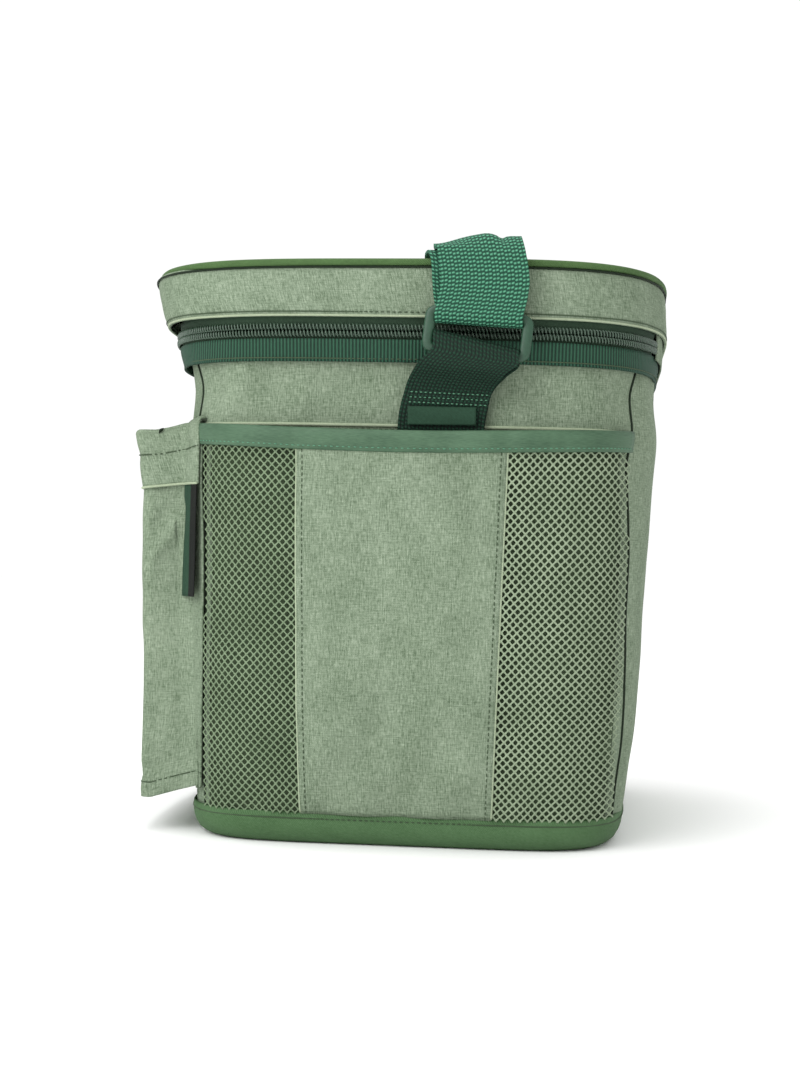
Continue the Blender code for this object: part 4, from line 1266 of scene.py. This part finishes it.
def strap():
    """One length of webbing from ring to ring over the lid, with its spare length folded flat."""
    top = lid_top_high[2]
    level = 0.2647
    folds_low, folds_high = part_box("strap_folds")
    adjuster_low, adjuster_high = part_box("strap_adjuster")
    bar_y = (adjuster_low[1] + adjuster_high[1]) / 2

    def leg_out(side):
        return [
            (STRAP_X + 0.0024, side * 0.1596, top - 0.0165, 0.45),
            (STRAP_X + 0.0030, side * 0.1598, top - 0.0090, 0.3),
            (STRAP_X + 0.0012, side * 0.1590, top + 0.0016, 0.1),
            (STRAP_X - 0.0008, side * 0.1548, top + 0.0082, 0.0),
            (STRAP_X - 0.0016, side * 0.1480, top + 0.0094, 0.0),
            (STRAP_X - 0.0010, side * 0.1370, top + 0.0068, 0.0),
            (STRAP_X, side * 0.1250, level, 0.0),
        ]

    def leg_in(side):
        return [
            (STRAP_X - 0.0010, side * 0.1530, top - 0.0150, 0.4),
            (STRAP_X - 0.0018, side * 0.1548, top - 0.0030, 0.0),
            (STRAP_X - 0.0030, side * 0.1532, top + 0.0020, 0.0),
            (STRAP_X - 0.0044, side * 0.1480, top + 0.0034, 0.0),
            (STRAP_X - 0.0062, side * 0.1400, top + 0.0024, 0.0),
            (STRAP_X - 0.0052, side * 0.1250, top + 0.0017, 0.0),
        ]

    path = [(STRAP_X, bar_y - 0.006, top + 0.0017, 0.0), (STRAP_X, bar_y - 0.030, top + 0.0017, 0.0)]
    path += leg_in(-1)[::-1] + bar_turn(-1, 1, 0, -180, LEG_ROLL) + leg_out(-1)
    path += [
        (STRAP_X, bar_y - 0.024, level, 0.0),
        (STRAP_X, bar_y - 0.011, level, 0.0),
        (STRAP_X, bar_y - 0.005, level + 0.0001, 0.0),
        (STRAP_X, bar_y, level + 0.0002, 0.0),
        (STRAP_X, bar_y + 0.005, level + 0.0001, 0.0),
        (STRAP_X, bar_y + 0.011, level, 0.0),
        (STRAP_X, bar_y + 0.030, level, 0.0),
    ]
    near, far = folds_low[1] + 0.004, folds_high[1] - 0.004
    bottom = folds_low[2] + 0.0010
    gap = 0.0021
    layers = 5
    path += [(STRAP_X, near - 0.006, bottom + 0.0006, 0.0)]
    for layer in range(layers):
        z = bottom + gap * layer
        forward = layer % 2 == 0
        first, last = (near, far) if forward else (far, near)
        wobble = 0.0007 * math.sin(layer * 2.1)
        path += [(STRAP_X + wobble, first + (last - first) * t, z, 0.0) for t in (0.03, 0.35, 0.65, 0.97)]
        if layer < layers - 1:
            edge = last + (0.0022 if forward else -0.0022)
            path += [(STRAP_X + wobble, edge, z + gap / 2, 0.0)]
    path += [(STRAP_X, far + 0.010, level + 0.0010, 0.0)]
    path += leg_out(1)[::-1] + bar_turn(1, 1, 180, 360, LEG_ROLL) + leg_in(1)[:-1]
    path += [(STRAP_X, 0.1290, top + 0.0017, 0.0)]

    def slack(points, share):
        """The strap's arch over the lid's edge sags at its -X edge and puckers a little."""
        arch = ramp(points[..., 2], top + 0.0035, top + 0.0085) * ramp(np.abs(points[..., 1]), 0.122, 0.142)
        sag = -0.0036 * ramp(-share, 0.0, 1.0)
        pucker = 0.0010 * hill(share, 0.22, 0.22) - 0.0012 * hill(share, 0.55, 0.10)
        return arch * (sag + pucker) + 0.00035 * wander(points, 0.018, 91, 1)

    nodes = ("strap_front_leg", "strap_rear_leg", "strap_lid_front", "strap_folds", "strap_lid_rear")
    obj, length = webbing("strap_webbing", path, "webbing", slack, nodes)
    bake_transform(obj)


def ring_piece(end, side):
    """A moulded ring with rounded bars, rounder at its outer corners than at its window's."""
    width, height, bar, member, thick = 0.0476, 0.0224, 0.0041, 0.0050, 0.0036
    around, sections = 96, 12
    angle = 2 * math.pi * (np.arange(around) + 0.5)[:, None] / around
    turn = 2 * math.pi * np.arange(sections) / sections

    def outline(wide, high, power):
        x = wide / 2 * signed_power(np.cos(angle), 2 / power)
        return x, high / 2 * signed_power(np.sin(angle), 2 / power)

    outer = outline(width, height, 5.5)
    inner = outline(width - 2 * member, height - 2 * bar, 12.0)
    share = (1 + signed_power(np.cos(turn), 0.6)) / 2
    depth = thick / 2 * signed_power(np.sin(turn), 0.6)
    x, z = (inside + (outside - inside) * share for inside, outside in zip(inner, outer))
    index = np.arange(around * sections).reshape(around, sections)
    mesh = raw_mesh(spread(x, depth, z).reshape(-1, 3), round_quads(np.concatenate([index, index[:1]])))
    middle = Matrix.Translation((ring_centre[0], side * ring_centre[1], ring_centre[2]))
    mesh.transform(middle @ Matrix.Rotation(RING_ROLL, 4, "Y"))
    obj = piece(end + "_ring_body", edit(mesh), "ring", end + "_ring", (end + "_ring",))
    soft = obj.modifiers.new("soft", "SUBSURF")
    soft.levels = soft.render_levels = 1


def tab(end, side):
    """The tab sewn to the wall: a double layer of webbing turned round the ring's lower bar."""
    low = 0.1835
    foot = 0.0165
    back = [
        (foot, -0.1424, low, 0.0),
        (foot + 0.0004, -0.1426, 0.1890, 0.1),
        (foot + 0.0024, -0.1436, 0.2000, 0.3),
        (foot + 0.0050, -0.1452, 0.2060, 0.7),
        (foot + 0.0100, -0.1490, 0.2115, 1.15),
        (STRAP_X - 0.0010, -0.1512, 0.2160, 1.7),
    ]
    front = [
        (STRAP_X - 0.0010, -0.1590, 0.2160, 1.7),
        (foot + 0.0100, -0.1572, 0.2120, 1.15),
        (foot + 0.0052, -0.1506, 0.2065, 0.7),
        (foot + 0.0026, -0.1468, 0.2005, 0.3),
        (foot + 0.0006, -0.1453, 0.1920, 0.1),
        (foot, -0.1447, low, 0.0),
    ]
    path = mirror_y(back, side) + bar_turn(side, -1, -10, 190, TAB_ROLL) + mirror_y(front, side)

    def ridge(points, share):
        """A slight unevenness of the outer layer below the ring."""
        outer = (np.abs(points[..., 1]) > 0.1545) & (points[..., 2] < 0.2200)
        return 0.00025 * wander(points, 0.010, 95, 1) * outer

    obj, length = webbing(end + "_tab_webbing", path, "tab", ridge, (end + "_tab", end + "_tab_loop"))
    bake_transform(obj)
    for k, z in enumerate((0.1970, 0.1992, 0.2014)):
        x = foot + 0.0030 + 0.0004 * k + np.linspace(-0.0165, 0.0165, 40)
        y = np.interp(z, (0.1920, 0.2005, 0.2070), (0.1453, 0.1468, 0.1506))
        path = spread(x, side * (y + 0.0008), z - math.tan(RING_ROLL * 0.3) * (x - foot))
        stitches(f"{end}_tab_stitches_{k + 1}", path, (0.0, side, 0.0), "bag", "thread_green", 0.0021, 0.5)


def hardware():
    """Both rings, and the looks of the CAD's parts that are shown as they are."""
    ring_piece("front", -1)
    ring_piece("rear", 1)
    for node, material in (
        ("strap_adjuster", "ring"), ("zip_slider_front", "metal"), ("zip_slider_rear", "metal"),
        ("zip_pull_front", "metal"), ("zip_pull_rear", "metal"), ("foam_floor", "foam"),
        ("base_board", "board"), ("closure_loop_strip", "hook"), ("closure_hook_strip", "hook"),
    ):
        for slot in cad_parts[node].material_slots:
            slot.material = MAT[material]


def labels():
    """Two blank woven labels: one across the foot of the front tab, one folded into the corner seam."""
    low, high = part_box("tab_label")
    u, v = np.meshgrid(np.linspace(0, 1, 30), np.linspace(0, 1, 12))
    curl = 0.0003 * (np.sin(5 * v + 3 * u) - np.sin(math.pi * u))
    x, z = low[0] + (high[0] - low[0]) * u, low[2] + (high[2] - low[2]) * v
    mesh = grid(spread(x, low[1] - 0.0006 + curl, z), spread(x, z))
    cloth("tab_label_cloth", mesh, "label_back", "bag", 0.0006, ("tab_label",))
    low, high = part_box("corner_label")
    folded_label("corner_label_fold", (0.884, 0.900, 0.918, 0.936), 0.0050, low, high, "label_back")
    shares = (0.861, 0.868, 0.878, 0.889)
    folded_label("corner_label_cloth", shares, 0.0054, low, high, "label", ("corner_label",))


def folded_label(name, shares, away, low, high, material, nodes=()):
    """A label that stands upright at shares of the half width towards -X, away from the front wall."""
    middle = 0.135
    plan = on_end(-sizes(BODY, middle)[0] * np.array(shares), middle, away, -1)[:, :2]
    path, at = resample(plan, 0.0005)
    rows, uvs = [], []
    for z in np.linspace(low[2], high[2] + 0.002, 24):
        wave = 0.0002 * np.sin(z * 160 + at * 300)
        rows.append(spread(path[:, 0], path[:, 1] + wave, z))
        uvs.append(spread(at, z))
    cloth(name, grid(rows, uvs), material, "bag", 0.0005, nodes, 0.0)


# ---------------------------------------------------------------- studio


def studio():
    floor_mesh = bpy.data.meshes.new("floor")
    bm = bmesh.new()
    bmesh.ops.create_grid(bm, x_segments=1, y_segments=1, size=6.0)
    bm.to_mesh(floor_mesh)
    bm.free()
    floor = added("floor", floor_mesh)
    m = Nodes("floor_paint", roughness=0.9, specular=0.1)
    m.shader.inputs["Base Color"].default_value = (0.985, 0.985, 0.985, 1.0)
    floor_mesh.materials.append(m.material)

    world = bpy.data.worlds.new("studio")
    bpy.context.scene.world = world
    world.use_nodes = True
    background = world.node_tree.nodes["Background"]
    background.inputs["Color"].default_value = (1.0, 1.0, 1.0, 1.0)
    background.inputs["Strength"].default_value = 1.03

    lamp("key", (-0.66, -1.06, 0.84), 1.1, 11.8)
    lamp("top", (-0.2, 0.1, 1.6), 0.9, 8.0)


def lamp(name, place, size, watts):
    light = bpy.data.lights.new(name, "AREA")
    light.shape = "DISK"
    light.size = size
    light.energy = watts
    obj = added(name, light)
    obj.location = place
    obj.rotation_euler = (Vector((0.0, 0.0, 0.12)) - Vector(place)).to_track_quat("-Z", "Y").to_euler()


def camera():
    """A short telephoto a little to the +X side of the end, level at half the bag's height, slightly rolled."""
    data = bpy.data.cameras.new("camera")
    data.lens = 63.03
    data.sensor_width = 36.0
    data.shift_x = -0.0101
    data.shift_y = 0.0041
    obj = added("camera", data)
    azimuth = math.radians(5.574)
    distance = 0.8329
    aim = Vector((0.0054, -0.15, 0.1326))
    obj.location = aim + distance * Vector((math.sin(azimuth), -math.cos(azimuth), 0.0))
    look = (aim - obj.location).to_track_quat("-Z", "Y").to_matrix().to_4x4()
    roll = Matrix.Rotation(math.radians(1.4245), 4, "Z")
    obj.matrix_world = Matrix.Translation(obj.location) @ look @ roll
    bpy.context.scene.camera = obj
    bpy.context.scene.view_settings.view_transform = "Standard"


def main():
    camera()
    studio()
    body_shell()
    corner_seams()
    base_cover()
    ribbon()
    rim()
    liner_piece()
    zip_parts()
    hinge()
    lid_parts()
    end_pocket("front", -1)
    end_pocket("rear", 1)
    side_pocket()
    pocket_flap()
    strap()
    tab("front", -1)
    tab("rear", 1)
    hardware()
    labels()


main()
